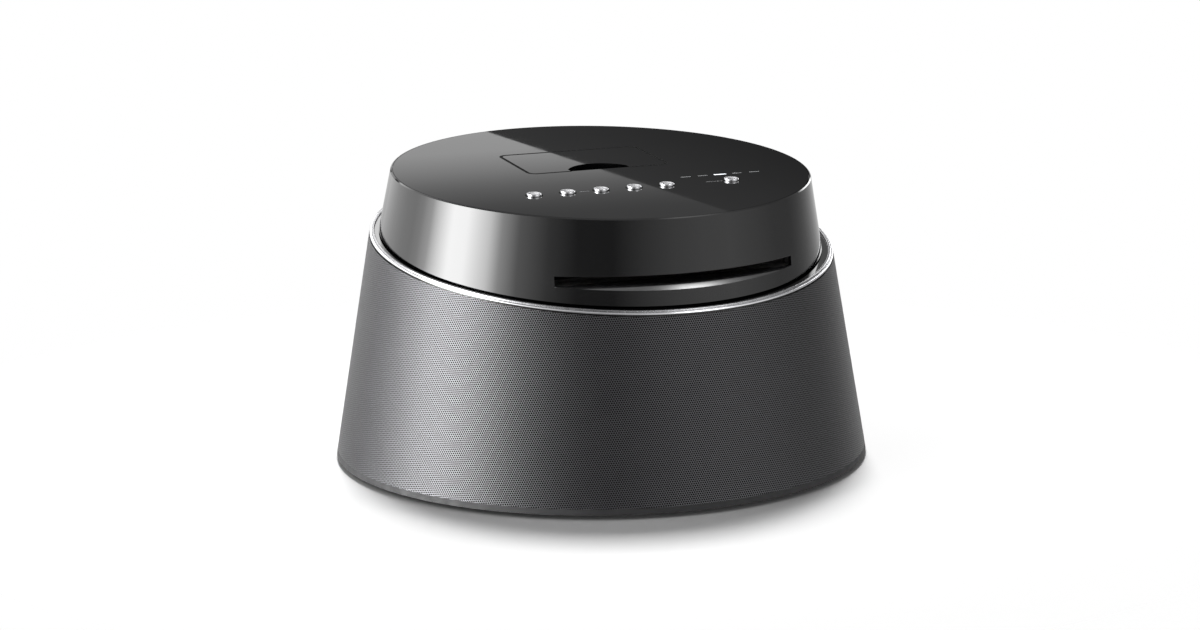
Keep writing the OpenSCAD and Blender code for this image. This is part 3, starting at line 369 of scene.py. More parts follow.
def metal(name, colour, low, high, size=2 * MM, stretch=None, depth=0.0):
    """Bare or plated metal; stretch draws the noise out along the brushing."""
    look = Look(name, colour, (low + high) / 2, 1.0)
    look.shade(0.06, size * 4)
    look.roughness(low, high, size, detail=4.0, stretch=stretch)
    edge = look.soft_edge(0.15 * MM)
    if depth:
        look.relief(look.noise(size, detail=4.0, stretch=stretch), depth, edge)
    else:
        look.set("Normal", edge)
    return look.material


def plated_steel(name, colour):
    """Zinc-plated sheet with the faint spangle of its plating."""
    look = Look(name, colour, 0.34, 1.0)
    spangle = look.add("ShaderNodeTexVoronoi",
                       {"Vector": look.object_place(), "Scale": 260.0}, feature="F1")
    tone = look.ramp((spangle, "Color"), [(0.1, times(colour, 0.86)), (0.9, colour)])
    look.set("Base Color", tone)
    look.roughness(0.28, 0.42, 3 * MM)
    look.set("Normal", look.soft_edge(0.2 * MM))
    return look.material


def circuit_board():
    """Green solder mask over faint copper tracks, with bare pads."""
    look = Look("circuit_board", (0.01, 0.07, 0.03), 0.35, IOR=1.5)
    place = look.object_place()
    tracks = look.add("ShaderNodeTexBrick", {
        "Vector": place, "Scale": 190.0, "Mortar Size": 0.018,
        "Brick Width": 0.9, "Row Height": 0.32, "Color1": (0.006, 0.05, 0.022, 1),
        "Color2": (0.009, 0.062, 0.028, 1), "Mortar": (0.03, 0.13, 0.055, 1)},
        offset=0.37)
    pads = look.add("ShaderNodeTexVoronoi",
                    {"Vector": place, "Scale": 210.0, "Randomness": 0.55}, feature="F1")
    pad = look.span((pads, "Distance"), 0.13, 0.17, 1.0, 0.0)
    copper = (0.55, 0.42, 0.2, 1)
    look.set("Base Color", look.mix(pad, (tracks, "Color"), copper, data_type="RGBA"))
    look.roughness(0.28, 0.42, 2 * MM)
    look.relief((tracks, "Fac"), 0.03 * MM)
    return look.material


def cone_paper():
    look = Look("cone_paper", (0.035, 0.034, 0.033), 0.75, IOR=1.45)
    look.shade(0.3, 1.2 * MM, detail=6.0)
    look.roughness(0.65, 0.85, 2 * MM)
    pulp = look.noise(0.6 * MM, detail=6.0, roughness=0.65)
    look.relief(pulp, 0.08 * MM)
    return look.material


def laminations():
    """Stacked core sheets: dark lines about a millimetre apart."""
    colour = (0.16, 0.15, 0.14)
    look = Look("core_laminations", colour, 0.45, 0.8)
    stack = look.add("ShaderNodeTexWave",
                     {"Vector": look.object_place(), "Scale": 320.0, "Distortion": 0.4},
                     bands_direction="Y")
    tone = look.ramp((stack, "Fac"), [(0.15, (0.05, 0.045, 0.04)), (0.45, colour)])
    look.set("Base Color", tone)
    look.roughness(0.38, 0.55, 2 * MM)
    look.relief((stack, "Fac"), 0.05 * MM)
    return look.material


def perforated_paint():
    """Dark metallic paint on a sheet with staggered round holes, laid on its UV map; the holes
    are painted near-black, as painted shade of the dark inside.
    """
    sizes = bpy.context.scene.player_sizes
    colour = bpy.context.scene.player_finish.sheet
    look = Look("sheet_paint", colour, 0.42, 0.9)
    unrolled = look.add("ShaderNodeUVMap", uv_map="unrolled")
    # two shifted rectangular grids make the staggered rows
    root = math.sqrt(3)
    grid = look.vector("MULTIPLY", unrolled,
                       (1 / sizes.hole_pitch, 1 / sizes.hole_pitch / root, 0.0))
    distances = []
    for shift in ((0.0, 0.0, 0.0), (0.5, 0.5, 0.0)):
        cell = look.vector("FRACTION", look.vector("ADD", grid, shift))
        centred = look.vector("SUBTRACT", cell, (0.5, 0.5, 0.0))
        true_shape = look.vector("MULTIPLY", centred, (1.0, root, 0.0))
        distances.append((look.vector("LENGTH", true_shape), "Value"))
    near = look.math("MINIMUM", *distances)
    share, soft = sizes.hole_share, 0.02
    flake = look.noise(0.5 * MM, detail=4.0)
    paint = look.ramp(flake, [(0.35, times(colour, 0.9)), (0.65, times(colour, 1.1))])
    # near-black in the holes: painted shade of the dark inside seen through them
    hole = (0.004, 0.004, 0.004, 1)
    tone = look.mix(look.span(near, share - soft, share + soft), hole, paint,
                    data_type="RGBA")
    look.set("Base Color", tone)
    look.set("Roughness", look.span(flake, 0.3, 0.7, 0.37, 0.46))
    rim = look.span(near, share - soft, share + 1.5 * soft, smooth=True)
    look.relief(rim, 0.02 * MM)
    return look.material


def lamp(name, colour, strength):
    """A backlit window whose glow is a little uneven."""
    look = Look(name, colour, 0.3, IOR=1.5, Emission_Strength=strength)
    look.shade(0.1, 2 * MM)
    glow = look.ramp(look.noise(3 * MM, detail=1.0), [(0.3, times(colour, 0.8)), (0.7, colour)])
    look.set("Emission Color", glow)
    look.roughness(0.25, 0.35, 1 * MM)
    return look.material


# ---- mesh helpers

def top_frame():
    """The plane of the top panel, with its centre as the origin."""
    sizes = bpy.context.scene.player_sizes
    place = Matrix.Translation((0.0, -sizes.top_shift, sizes.top_height))
    return place @ Matrix.Rotation(sizes.top_tilt, 4, "X")


def on_panel(bm, x=0.0, y=0.0):
    """Lays a mesh made round the origin on the top panel."""
    place = top_frame() @ Matrix.Translation((x, y, 0.0))
    bmesh.ops.transform(bm, matrix=place, verts=bm.verts)


def body_radius(height):
    """Radius of the body's cone."""
    sizes = bpy.context.scene.player_sizes
    return sizes.base_radius - (height - sizes.foot_height) * math.tan(sizes.body_lean)


def split(bm, place, normal, clear=False):
    """Cuts a mesh along a plane and may clear what lies beyond."""
    bmesh.ops.bisect_plane(bm, geom=bm.verts[:] + bm.edges[:] + bm.faces[:],
                           plane_co=place, plane_no=normal, clear_outer=clear)


def lathe(profile, steps, closed=False):
    """Spins (radius, height) points round Z; ends on the axis close to a pole."""
    bm = bmesh.new()
    verts = [bm.verts.new((r, 0.0, z)) for r, z in profile]
    pairs = list(zip(verts, verts[1:]))
    if closed:
        pairs.append((verts[-1], verts[0]))
    edges = [bm.edges.new(pair) for pair in pairs]
    bmesh.ops.spin(bm, geom=verts + edges, cent=(0, 0, 0), axis=(0, 0, 1),
                   angle=math.tau, steps=steps, use_merge=True)
    bmesh.ops.remove_doubles(bm, verts=bm.verts, dist=1e-7)
    bmesh.ops.recalc_face_normals(bm, faces=bm.faces)
    return bm


def thicken(bm, thickness):
    """Turns a sheet's faces to look up and makes it a plate."""
    bmesh.ops.recalc_face_normals(bm, faces=bm.faces)
    if sum(face.normal.z for face in bm.faces) < 0:
        bmesh.ops.reverse_faces(bm, faces=bm.faces)
    bmesh.ops.solidify(bm, geom=bm.faces[:], thickness=thickness)


def rounded_box(bm, low, high, radius):
    """A box between two corners with its edges rounded."""
    low, high = Vector(low), Vector(high)
    place = Matrix.Translation((low + high) / 2) @ Matrix.Diagonal((*(high - low), 1.0))
    made = bmesh.ops.create_cube(bm, size=1.0, matrix=place)
    edges = list({edge for vert in made["verts"] for edge in vert.link_edges})
    bmesh.ops.bevel(bm, geom=edges, offset=radius, segments=2, affect="EDGES",
                    profile=0.5, material=-1, offset_type="OFFSET")


def arc(centre, radius, start, end, steps):
    """Points (radius, height) on part of a circle, with angles in degrees."""
    points = []
    for i in range(steps + 1):
        a = math.radians(start + (end - start) * i / steps)
        points.append((centre[0] + radius * math.cos(a), centre[1] + radius * math.sin(a)))
    return points


def add_object(name, data):
    obj = bpy.data.objects.new(name, data)
    bpy.context.scene.collection.objects.link(obj)
    return obj


def add_mesh(name, bm, materials):
    mesh = bpy.data.meshes.new(name)
    bm.to_mesh(mesh)
    bm.free()
    for material in materials:
        mesh.materials.append(material)
    return add_object(name, mesh)


def piece(name, bm, body, materials, replaces=(), sharp=38):
    """Makes a visible piece of a mesh and hangs it on a body of the frame."""
    obj = add_mesh(name, bm, materials)
    obj.data.shade_smooth()
    obj.data.set_sharp_from_angle(angle=math.radians(sharp))
    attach(obj, body)
    if replaces:
        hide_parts(*replaces)


def dress(material, *names):
    """Gives CAD nodes a material."""
    for name in names:
        slots = nodes[name].material_slots
        if not slots:
            raise RuntimeError(f"{name} has no material slot")
        for slot in slots:
            slot.material = material


# ---- pieces

class PLAYER_OT_sheet(bpy.types.Operator):
    """Wrap the body in its perforated sheet"""
    bl_idname = "player.sheet"
    bl_label = "Perforated sheet"
    spare = 30 * MM
    bay_gap = 0.2 * MM

    def unroll(self, bm, lean):
        """Lays the sheet flat on its UV map: a sector whose seam is at the back."""
        layer = bm.loops.layers.uv.new("unrolled")
        slope = math.sin(lean)
        at_seam = 3.1
        for face in bm.faces:
            left = face.calc_center_median().x < 0
            for loop in face.loops:
                x, y, _ = loop.vert.co
                turn = math.atan2(x, -y)
                if turn > at_seam and left:
                    turn -= math.tau
                if turn < -at_seam and not left:
                    turn += math.tau
                slant = math.hypot(x, y) / slope
                loop[layer].uv = (slant * math.sin(turn * slope), -slant * math.cos(turn * slope))

    def execute(self, context):
        sizes = context.scene.player_sizes
        heights = (sizes.base_top, sizes.ring_height + self.spare)
        bm = lathe([(body_radius(z), z) for z in heights], sizes.around)
        across = Matrix.Rotation(sizes.ring_tilt, 3, "X") @ UP
        split(bm, UP * sizes.ring_height - across * sizes.sheet_groove, across, clear=True)
        # leave the bay of the rear panel open
        _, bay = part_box("rear_panel")
        side, head = bay[0] + self.bay_gap, bay[2] + self.bay_gap
        for place, normal in (((side, 0, 0), (1, 0, 0)), ((-side, 0, 0), (1, 0, 0)),
                              ((0, 0, head), UP)):
            split(bm, place, normal)
        middles = {face: face.calc_center_median() for face in bm.faces}
        inside = [face for face, at in middles.items()
                  if abs(at.x) < side and at.y > 0 and at.z < head]
        outward = sum(face.normal.x * at.x + face.normal.y * at.y
                      for face, at in middles.items() if face not in inside)
        bmesh.ops.delete(bm, geom=inside, context="FACES")
        if outward < 0:
            bmesh.ops.reverse_faces(bm, faces=bm.faces)
        self.unroll(bm, sizes.body_lean)
        bmesh.ops.solidify(bm, geom=bm.faces[:], thickness=sizes.sheet_thickness)
        piece("perforated_sheet", bm, "housing", [perforated_paint()],
              ("grille",), sharp=30)
        return {"FINISHED"}


class PLAYER_OT_bead(bpy.types.Operator):
    """Lay the two-step bright bead round the body's top"""
    bl_idname = "player.bead"
    bl_label = "Bead"

    def execute(self, context):
        sizes = context.scene.player_sizes
        finish = context.scene.player_finish
        lean = math.tan(sizes.body_lean)
        ring_r = body_radius(sizes.ring_height)
        # millimetres in from the body's surface and up from the bead's lower edge
        section = arc((0.35, 0.35), 0.33, 270, 180, 5)
        section += arc((0.4, 0.5), 0.38, 175, 95, 5)
        section += [(0.98, 0.9), (1.02, 1.0)]
        section += arc((1.42, 1.38), 0.4, 180, 90, 5)
        section += arc((2.1, 1.38), 0.4, 90, 0, 5)
        section += [(2.5, 0.02)]
        profile = [(ring_r - (d + h * lean) * MM, h * MM) for d, h in section]
        bm = lathe(profile, sizes.around, closed=True)
        # the step between the bright lower round and the satin upper one
        step_in, step_up = 1.0, 0.95
        step = ring_r - (step_in + step_up * lean) * MM
        for face in bm.faces:
            at = face.calc_center_median()
            face.material_index = 0 if math.hypot(at.x, at.y) > step else 1
        # a cone cut by a sloping plane: the ring narrows towards the back
        slope = math.tan(sizes.ring_tilt)
        pull = slope * lean
        for vert in bm.verts:
            x, y, z = vert.co
            out = math.hypot(x, y)
            scale = 1.0 / (1.0 + pull * y / out)
            vert.co = (x * scale, y * scale,
                       sizes.ring_height + z / math.cos(sizes.ring_tilt) + y * scale * slope)
        bmesh.ops.recalc_face_normals(bm, faces=bm.faces)
        bright = metal("bead_bright", finish.bright, 0.06, 0.12, 6 * MM)
        satin = metal("bead_satin", times(finish.bright, 0.42), 0.24, 0.32, 3 * MM)
        piece("bright_bead", bm, "housing", [bright, satin], ("trim_ring",))
        return {"FINISHED"}


class PLAYER_OT_gloss(bpy.types.Operator):
    """Finish the drum, the ledge, the top panel and the door in gloss black"""
    bl_idname = "player.gloss"
    bl_label = "Gloss housing"

    def execute(self, context):
        dress(gloss_black(), "drum_shell", "deck_ring", "top_panel", "dock_door")
        return {"FINISHED"}


class PLAYER_OT_buttons(bpy.types.Operator):
    """Set the six bright buttons into the top panel"""
    bl_idname = "player.buttons"
    bl_label = "Buttons"
    names = ("button_1", "button_2", "button_3", "button_4", "button_5", "source_button")
    around = 48
    flat = 0.9

    def cap(self, r, h):
        """Half a button's section in millimetres, for a radius r and a height h above the
        panel: a dished top, a rounded edge, a flange below the panel and a stem."""
        edge, flange, flange_foot, stem, stem_foot = 0.2, -3.3, -4.1, 1.5, -6.0
        section = [(0.0, h - 0.28), (1.6, h - 0.26), (2.3, h - 0.16), (2.7, h - 0.05)]
        section += [(2.95, h), (r - edge, h)]
        section += arc((r - edge, h - edge), edge, 80, 0, 4)
        section += [(r, flange), (r + 0.9, flange), (r + 1.0, flange - 0.1)]
        section += [(r + 1.0, flange_foot), (stem, flange_foot)]
        return section + [(stem, stem_foot + 0.1), (stem - 0.1, stem_foot), (0.0, stem_foot)]

    def execute(self, context):
        sizes = context.scene.player_sizes
        colour = context.scene.player_finish.bright
        bright = metal("button_bright", colour, 0.06, 0.1, 2 * MM)
        satin = metal("button_satin", times(colour, 0.6), 0.3, 0.38, 1 * MM)
        dark = painted_seam_shade()
        r = sizes.button_radius / MM
        cap = self.cap(r, sizes.button_height / MM)
        near, far, thick = r + 0.05, r + 0.8, 0.03
        seam = [(near, 0.0), (far, 0.0), (far, thick), (near, thick)]
        for name in self.names:
            low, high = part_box(name)
            middle = (low[0] + high[0]) / 2
            bm = lathe([(x * MM, z * MM) for x, z in cap], self.around)
            for face in bm.faces:
                face.material_index = 1 if face.normal.z > self.flat else 0
            on_panel(bm, middle, -sizes.button_row)
            piece(name + "_cap", bm, name, [bright, satin], (name,))
            # a dark ring on the panel round each cap: painted shade of the gap round the button
            bm = lathe([(x * MM, z * MM) for x, z in seam], self.around, closed=True)
            on_panel(bm, middle, -sizes.button_row)
            piece(name + "_seam", bm, "housing", [dark])
        return {"FINISHED"}


class PLAYER_OT_lamps(bpy.types.Operator):
    """Light the source lamps and print the dashes beside the buttons"""
    bl_idname = "player.lamps"
    bl_label = "Source lamps"

    def bars(self, places, row, half, depths, radius):
        """Small rounded bars across the panel, in a row in front of its centre."""
        bm = bmesh.new()
        for x in places:
            rounded_box(bm, (x - half[0], -row - half[1], depths[0]),
                        (x + half[0], -row + half[1], depths[1]), radius)
        on_panel(bm)
        return bm

    def execute(self, context):
        sizes = context.scene.player_sizes
        window = Look("lamp_window", (0.02, 0.02, 0.022), 0.08, IOR=1.5)
        window.shade(0.1, 3 * MM)
        window.roughness(0.06, 0.11, 2 * MM)
        dress(window.material, "indicator_lenses")
        low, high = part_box("indicator_lenses")
        middle = (low[0] + high[0]) / 2
        lit = lamp("lamp_lit", context.scene.player_finish.lamp, 0.9)
        dull = lamp("lamp_dull", (0.16, 0.165, 0.17), 0.0)
        for name, steps, half, material in (
                ("source_lamp_lit", (0,), (3.4 * MM, 0.75 * MM), lit),
                ("source_lamps_dull", (-2, -1, 1, 2), (2.65 * MM, 0.55 * MM), dull)):
            bm = self.bars([middle + step * sizes.lamp_pitch for step in steps],
                           sizes.lamp_row, half, (-0.4 * MM, 0.06 * MM), 0.05 * MM)
            piece(name, bm, "housing", [material])
        # plain dashes printed on the panel, in the row of buttons
        second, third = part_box("button_2"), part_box("button_3")
        between = (second[0][0] + second[1][0] + third[0][0] + third[1][0]) / 4
        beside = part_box("source_button")[0][0] - 5 * MM
        for name, x, half, grey in (("row_dash", between, (2.75 * MM, 0.3 * MM), 0.2),
                                    ("source_dash", beside, (4.5 * MM, 0.5 * MM), 0.04)):
            bm = self.bars([x], sizes.button_row, half, (-0.2 * MM, 0.05 * MM), 0.04 * MM)
            piece(name, bm, "housing",
                  [plastic(name + "_print", (grey, grey, grey * 1.05), 0.5)])
        return {"FINISHED"}


class PLAYER_OT_dock(bpy.types.Operator):
    """Line the door's seam with painted shade and finish the dock well, its plug and the door's
    pins
    """
    bl_idname = "player.dock"
    bl_label = "Dock"
    shade = 0.75 * MM
    clear = 0.03 * MM
    film = 0.05 * MM

    def outline(self, sizes, grow):
        """The door's edge from one end of its finger notch round to the other."""
        front, corner = sizes.door_front, sizes.door_corner
        side, near, far = sizes.door_half - corner, front + corner, sizes.door_back - corner
        points = [(-sizes.notch_half, front - grow)]
        for centre, start in (((-side, near), 270), ((-side, far), 180),
                              ((side, far), 90), ((side, near), 0)):
            points += arc(centre, corner + grow, start, start - 90, 8)
        return points + [(sizes.notch_half, front - grow)]

    def strip(self, sizes, near, far):
        """A thin band along the door's edge, between two distances from it."""
        bm = bmesh.new()
        one, two = ([bm.verts.new((x, y, self.film / 2)) for x, y in self.outline(sizes, grow)]
                    for grow in (near, far))
        for i in range(len(one) - 1):
            bm.faces.new((one[i], one[i + 1], two[i + 1], two[i]))
        thicken(bm, self.film)
        on_panel(bm)
        return bm

    def execute(self, context):
        sizes = context.scene.player_sizes
        dark = painted_seam_shade()
        # dark films either side of the door's gap, on the panel and on the door: painted shade of
        # the seam
        for name, near, far, body in (
                ("seam_frame_shade", self.clear, sizes.door_seam + self.shade, "housing"),
                ("seam_door_shade", -self.shade, 0.0, "dock_door")):
            piece(name, self.strip(sizes, near, far), body, [dark])
        dress(plastic("well_plastic", (0.01, 0.01, 0.011), 0.45), "dock_well")
        dress(plastic("plug_plastic", (0.03, 0.03, 0.032), 0.4), "dock_connector")
        dress(metal("pin_steel", (0.6, 0.6, 0.62), 0.2, 0.3), "door_pins")
        return {"FINISHED"}


WALL_ROUNDS = 12


def wall_place(x, level, slope):
    """The front of the drum's outer wall at a distance x from the middle, on the plane
    z = level + slope * y; a few rounds of correction find y."""
    sizes = bpy.context.scene.player_sizes
    inward = top_frame().inverted()
    y = -sizes.panel_radius
    for _ in range(WALL_ROUNDS):
        at = inward @ Vector((x, y, level + slope * y))
        radius = sizes.panel_radius - at.z * math.tan(sizes.drum_lean)
        y -= at.y + math.sqrt(radius ** 2 - x ** 2)
    return Vector((x, y, level + slope * y))


class PLAYER_OT_slot(bpy.types.Operator):
    """Roll the slot's lip, round its upper edge and finish what is behind it"""
    bl_idname = "player.slot"
    bl_label = "Disc slot"
    columns = 64
    roll = 2.4 * MM
    roll_power = 1.4
    rows = (0.0, 0.03, 0.07, 0.12, 0.18, 0.25, 0.33, 0.42, 0.52, 0.65, 0.8, 1.0)
    rows_behind = 4
    side_gap = 0.1 * MM
    lift = 0.02 * MM
    lip_thickness = 0.15 * MM
    edge_place = Vector((0, 0.14, 0.1)) * MM
    edge_radius = 0.2 * MM
    edge_sides = 8

    def lip(self, sizes):
        """A shelf at the throat's floor that rolls down to the drum's wall. The rows are
        shares of the roll's depth, and evenly spaced rows behind it reach the throat."""
        slope = math.tan(sizes.ring_tilt)
        level = sizes.throat_floor + sizes.throat_place * slope
        bm = bmesh.new()
        front_rows = len(self.rows) - 1
        last = front_rows + self.rows_behind
        bmesh.ops.create_grid(bm, x_segments=self.columns, y_segments=last, size=1.0)
        for vert in bm.verts:
            row = round((vert.co.y + 1) / 2 * last)
            x = vert.co.x * (sizes.slot_half - self.side_gap)
            front = wall_place(x, level, slope)
            room = max(-sizes.throat_place - front.y, 0.2 * MM)
            depth = self.roll * self.rows[min(row, front_rows)]
            if row > front_rows:
                depth += max(room - self.roll, 0) * (row - front_rows) / self.rows_behind
            depth = min(max(depth, 0.05 * MM), room)
            raised = 1 - max(1 - depth / self.roll, 0) ** self.roll_power
            y = front.y + depth
            vert.co = (x, y, level + slope * (y + (room - depth) * raised) + self.lift)
        return bm

    def edge(self, sizes):
        """A thin round bar along the slot's upper edge."""
        bm = bmesh.new()
        rings = []
        for i in range(self.columns + 1):
            x = (2 * i / self.columns - 1) * sizes.slot_half
            at = wall_place(x, sizes.slot_top, 0.0) + self.edge_place
            turns = (math.tau * k / self.edge_sides for k in range(self.edge_sides))
            rings.append([bm.verts.new(at + Vector((0, math.cos(a), math.sin(a)))
                                       * self.edge_radius) for a in turns])
        for one, two in zip(rings, rings[1:]):
            for k in range(self.edge_sides):
                after = (k + 1) % self.edge_sides
                bm.faces.new((one[k], one[after], two[after], two[k]))
        bm.faces.new(rings[0])
        bm.faces.new(rings[-1])
        bmesh.ops.recalc_face_normals(bm, faces=bm.faces)
        return bm

    def execute(self, context):
        sizes = context.scene.player_sizes
        bm = self.lip(sizes)
        bmesh.ops.remove_doubles(bm, verts=bm.verts, dist=1e-6)
        thicken(bm, self.lip_thickness)
        piece("slot_lip", bm, "housing", [mouth_black()], sharp=60)
        piece("slot_edge", self.edge(sizes), "housing", [gloss_black()])
        # the throat behind the slot is painted a lighter grey than black plastic: painted light
        # where little light reaches
        dress(plastic("mouth_painted_light_plastic", (0.12, 0.12, 0.12), 0.5), "slot_mouth")
        dress(felt(), "slot_felts")
        return {"FINISHED"}


class PLAYER_OT_base(bpy.types.Operator):
    """Finish the base plate, the feet, the cabinet and the screws"""
    bl_idname = "player.base"
    bl_label = "Base and cabinet"

    def execute(self, context):
        colour = context.scene.player_finish.moulded
        dress(plastic("base_plastic", colour, 0.6), "base_plate")
        dress(plastic("cabinet_plastic", (0.02, 0.02, 0.021), 0.6), "cabinet")
        dress(rubber("foot_rubber", (0.012, 0.012, 0.012)), "rubber_feet")
        dress(metal("screw_steel", (0.09, 0.09, 0.095), 0.3, 0.42), "case_screws")
        return {"FINISHED"}


class PLAYER_OT_rear(bpy.types.Operator):
    """Finish the rear panel and its sockets"""
    bl_idname = "player.rear"
    bl_label = "Rear panel"

    def execute(self, context):
        colour = context.scene.player_finish.moulded
        dress(plastic("rear_plastic", colour, 0.55, 0.6 * MM, 0.05 * MM),
                     "rear_panel", "bass_port")
        dress(plastic("inlet_plastic", (0.015, 0.015, 0.015), 0.4), "mains_inlet")
        dress(metal("jack_gilt", (0.75, 0.56, 0.25), 0.16, 0.26), "phono_jacks")
        dress(metal("socket_nickel", (0.62, 0.61, 0.58), 0.18, 0.3),
                     "aerial_socket", "usb_socket")
        dress(plastic("line_jack_plastic", (0.02, 0.12, 0.05), 0.4), "line_in_jack")
        return {"FINISHED"}


class PLAYER_OT_speakers(bpy.types.Operator):
    """Finish both speaker drivers"""
    bl_idname = "player.speakers"
    bl_label = "Speakers"

    def execute(self, context):
        dress(plastic("driver_paint", (0.02, 0.02, 0.02), 0.4),
                     "left_driver_frame", "right_driver_frame")
        dress(cone_paper(), "left_cone", "right_cone")
        dress(rubber("surround_rubber", (0.015, 0.015, 0.015)), "cone_surrounds")
        dress(metal("magnet_ferrite", (0.06, 0.06, 0.065), 0.5, 0.65, depth=0.05 * MM),
                     "driver_magnets")
        return {"FINISHED"}


class PLAYER_OT_boards(bpy.types.Operator):
    """Finish the boards and what stands on them"""
    bl_idname = "player.boards"
    bl_label = "Boards"

    def execute(self, context):
        dress(circuit_board(), "main_board", "power_board", "key_board")
        dress(plastic("switch_plastic", (0.02, 0.02, 0.02), 0.5), "key_switches")
        dress(metal("sink_aluminium", (0.55, 0.55, 0.57), 0.3, 0.42, 0.4 * MM,
                           (1.0, 0.05, 1.0), 0.01 * MM), "heat_sink")
        dress(laminations(), "transformer")
        return {"FINISHED"}


class PLAYER_OT_loader(bpy.types.Operator):
    """Finish the slot loader and the traverse"""
    bl_idname = "player.loader"
    bl_label = "Loader"

    def execute(self, context):
        dress(plated_steel("loader_steel", (0.55, 0.56, 0.57)),
                     "loader_chassis", "loader_cover", "clamp_arm")
        dress(metal("motor_steel", (0.5, 0.5, 0.52), 0.25, 0.35),
                     "loading_motor", "spindle_motor", "sled_motor")
        dress(metal("ground_steel", (0.66, 0.66, 0.68), 0.1, 0.18, 0.3 * MM),
                     "roller_shaft", "guide_rods", "lead_screw", "loader_screws")
        dress(plastic("gear_plastic", (0.62, 0.6, 0.54), 0.4, 0.2 * MM),
                     "loading_pinion", "idler_gear", "roller_gear")
        dress(rubber("roller_rubber", (0.015, 0.015, 0.015)),
                     "loading_roller", "loader_bushes")
        dress(plastic("traverse_plastic", (0.03, 0.03, 0.033), 0.5),
                     "traverse_frame", "pickup_sled")
        dress(plastic("turntable_plastic", (0.018, 0.018, 0.02), 0.45),
                     "turntable", "clamp_puck")
        return {"FINISHED"}


# ---- stage

# The room that the gloss mirrors, as (degrees from the front, level). The bright part on
# the left is a tall lamp.
WALLS = ((-180, 1.4), (-160, 1.4), (-146, 1.6), (-137, 1.9), (-130, 2.7), (-122, 5.0),
         (-114, 12), (-106, 19), (-96, 20), (-82, 12.5), (-75, 5.5), (-65, 2.0), (-49, 0.7),
         (-34, 0.22), (-16, 0.2), (0, 0.6), (16, 0.93), (32, 1.1), (48, 1.1), (64, 0.8),
         (80, 0.48), (96, 0.3), (112, 0.3), (128, 0.42), (145, 0.75), (180, 1.3))
BRIGHTEST_WALL = 20.0
GROUND = ((-180, 0.8), (-130, 0.5), (-70, 0.2), (-45, 0.3), (0, 0.4), (25, 0.7))
# The sweep behind, as (share of its rise, level).
SWEEP = ((0.0, 1.0), (0.19, 0.93), (0.31, 0.9), (0.45, 0.65), (0.56, 0.44), (0.62, 0.35),
         (0.74, 0.225), (0.81, 0.18), (0.87, 0.157), (0.93, 0.15))
SWEEP_RISE = (0.30, 0.35)
# The flag's straight edge: aside = slope * rise + offset, and half its blur.
FLAG_SLOPE, FLAG_OFFSET, FLAG_BLUR = 2.6057, -0.4134, 0.0003
CEILING, CARD, LONG_LAMP = 0.7, 5.0, 10.0
WHITE = (1, 1, 1, 1)


def all_round(stops, top=1.0):
    """Stops by angle as stops from 0 to 1, with levels as shares of the top one."""
    return [((angle + 180) / 360, level / top) for angle, level in stops]


def mirrored_studio(graph):
    """The level of the studio in each direction."""
    place = graph.add("ShaderNodeTexCoord")
    way = graph.add("ShaderNodeSeparateXYZ", {"Vector": (place, "Generated")})
    x, y, z = (way, "X"), (way, "Y"), (way, "Z")

    def every(level, *spans):
        for span in spans:
            level = graph.math("MULTIPLY", level, span)
        return level

    def height(degrees):
        return math.sin(math.radians(degrees))

    turn = graph.math("ARCTAN2", x, graph.math("MULTIPLY", y, -1.0))
    around = graph.math("MULTIPLY_ADD", turn, 1 / math.tau, 0.5)
    walls = every(graph.ramp(around, all_round(WALLS, BRIGHTEST_WALL)), BRIGHTEST_WALL)
    # the back: a lit sweep that darkens upwards, cut off by a dark flag on the right
    behind = graph.math("MAXIMUM", y, 0.001)
    rise, aside = (graph.math("DIVIDE", axis, behind) for axis in (z, x))
    lit = graph.ramp(graph.span(rise, *SWEEP_RISE), SWEEP)
    flag = graph.math("SUBTRACT", aside,
                      graph.math("MULTIPLY_ADD", rise, FLAG_SLOPE, FLAG_OFFSET))
    dark = graph.span(flag, 0.0, 0.08, 0.095, 0.05)
    back = graph.mix(graph.span(flag, -FLAG_BLUR, FLAG_BLUR), lit, dark)
    # above the sweep: white on the left and dark on the right
    back = graph.mix(graph.span(rise, 0.38, 0.46, smooth=True), back,
                     graph.span(aside, 0.43, 0.53, 3.0, 0.25))
    extent = every(graph.span(y, 0.68, 0.80), graph.span(aside, -0.35, -0.15),
                   graph.span(rise, 0.05, 0.15))
    room = graph.mix(extent, walls, back)
    room = graph.mix(graph.span(z, height(35), height(60), smooth=True), room, CEILING)
    # a small white card behind on the right
    card = every(graph.span(x, 0.52, 0.6), graph.span(y, 0.48, 0.56), graph.span(z, 0.08, 0.16))
    room = graph.mix(card, room, CARD)
    # a long lamp over the front that fades out overhead
    off_lamp = graph.math("ABSOLUTE", graph.math("SUBTRACT", x, 0.44))
    fade = graph.span(y, -0.6, 0.1, 1.0, 0.0)
    extent = every(graph.span(off_lamp, 0.05, 0.22, 1.0, 0.0, smooth=True), fade, fade,
                   graph.span(z, 0.5, 0.65))
    room = graph.mix(extent, room, LONG_LAMP)
    ground = graph.ramp(around, all_round(GROUND))
    return graph.mix(graph.span(z, -height(2), -height(9), smooth=True), room, ground)


def studio_world():
    """White behind the object, an even light on it, and a studio seen in its gloss."""
    world = bpy.data.worlds.new("studio")
    bpy.context.scene.world = world
    world.use_nodes = True
    graph = Nodes(world.node_tree)
    room = mirrored_studio(graph)
    path = graph.add("ShaderNodeLightPath")
    even, seen, mirrored = (
        graph.add("ShaderNodeBackground", {"Color": WHITE, "Strength": level})
        for level in (bpy.context.scene.player_studio.ambient, 1.0, room))
    gloss = graph.math("MAXIMUM", (path, "Is Glossy Ray"), (path, "Is Transmission Ray"))
    mix = graph.add("ShaderNodeMixShader", {0: gloss, 1: even, 2: mirrored})
    mix = graph.add("ShaderNodeMixShader", {0: (path, "Is Camera Ray"), 1: mix, 2: seen})
    graph.add("ShaderNodeOutputWorld", {"Surface": mix})


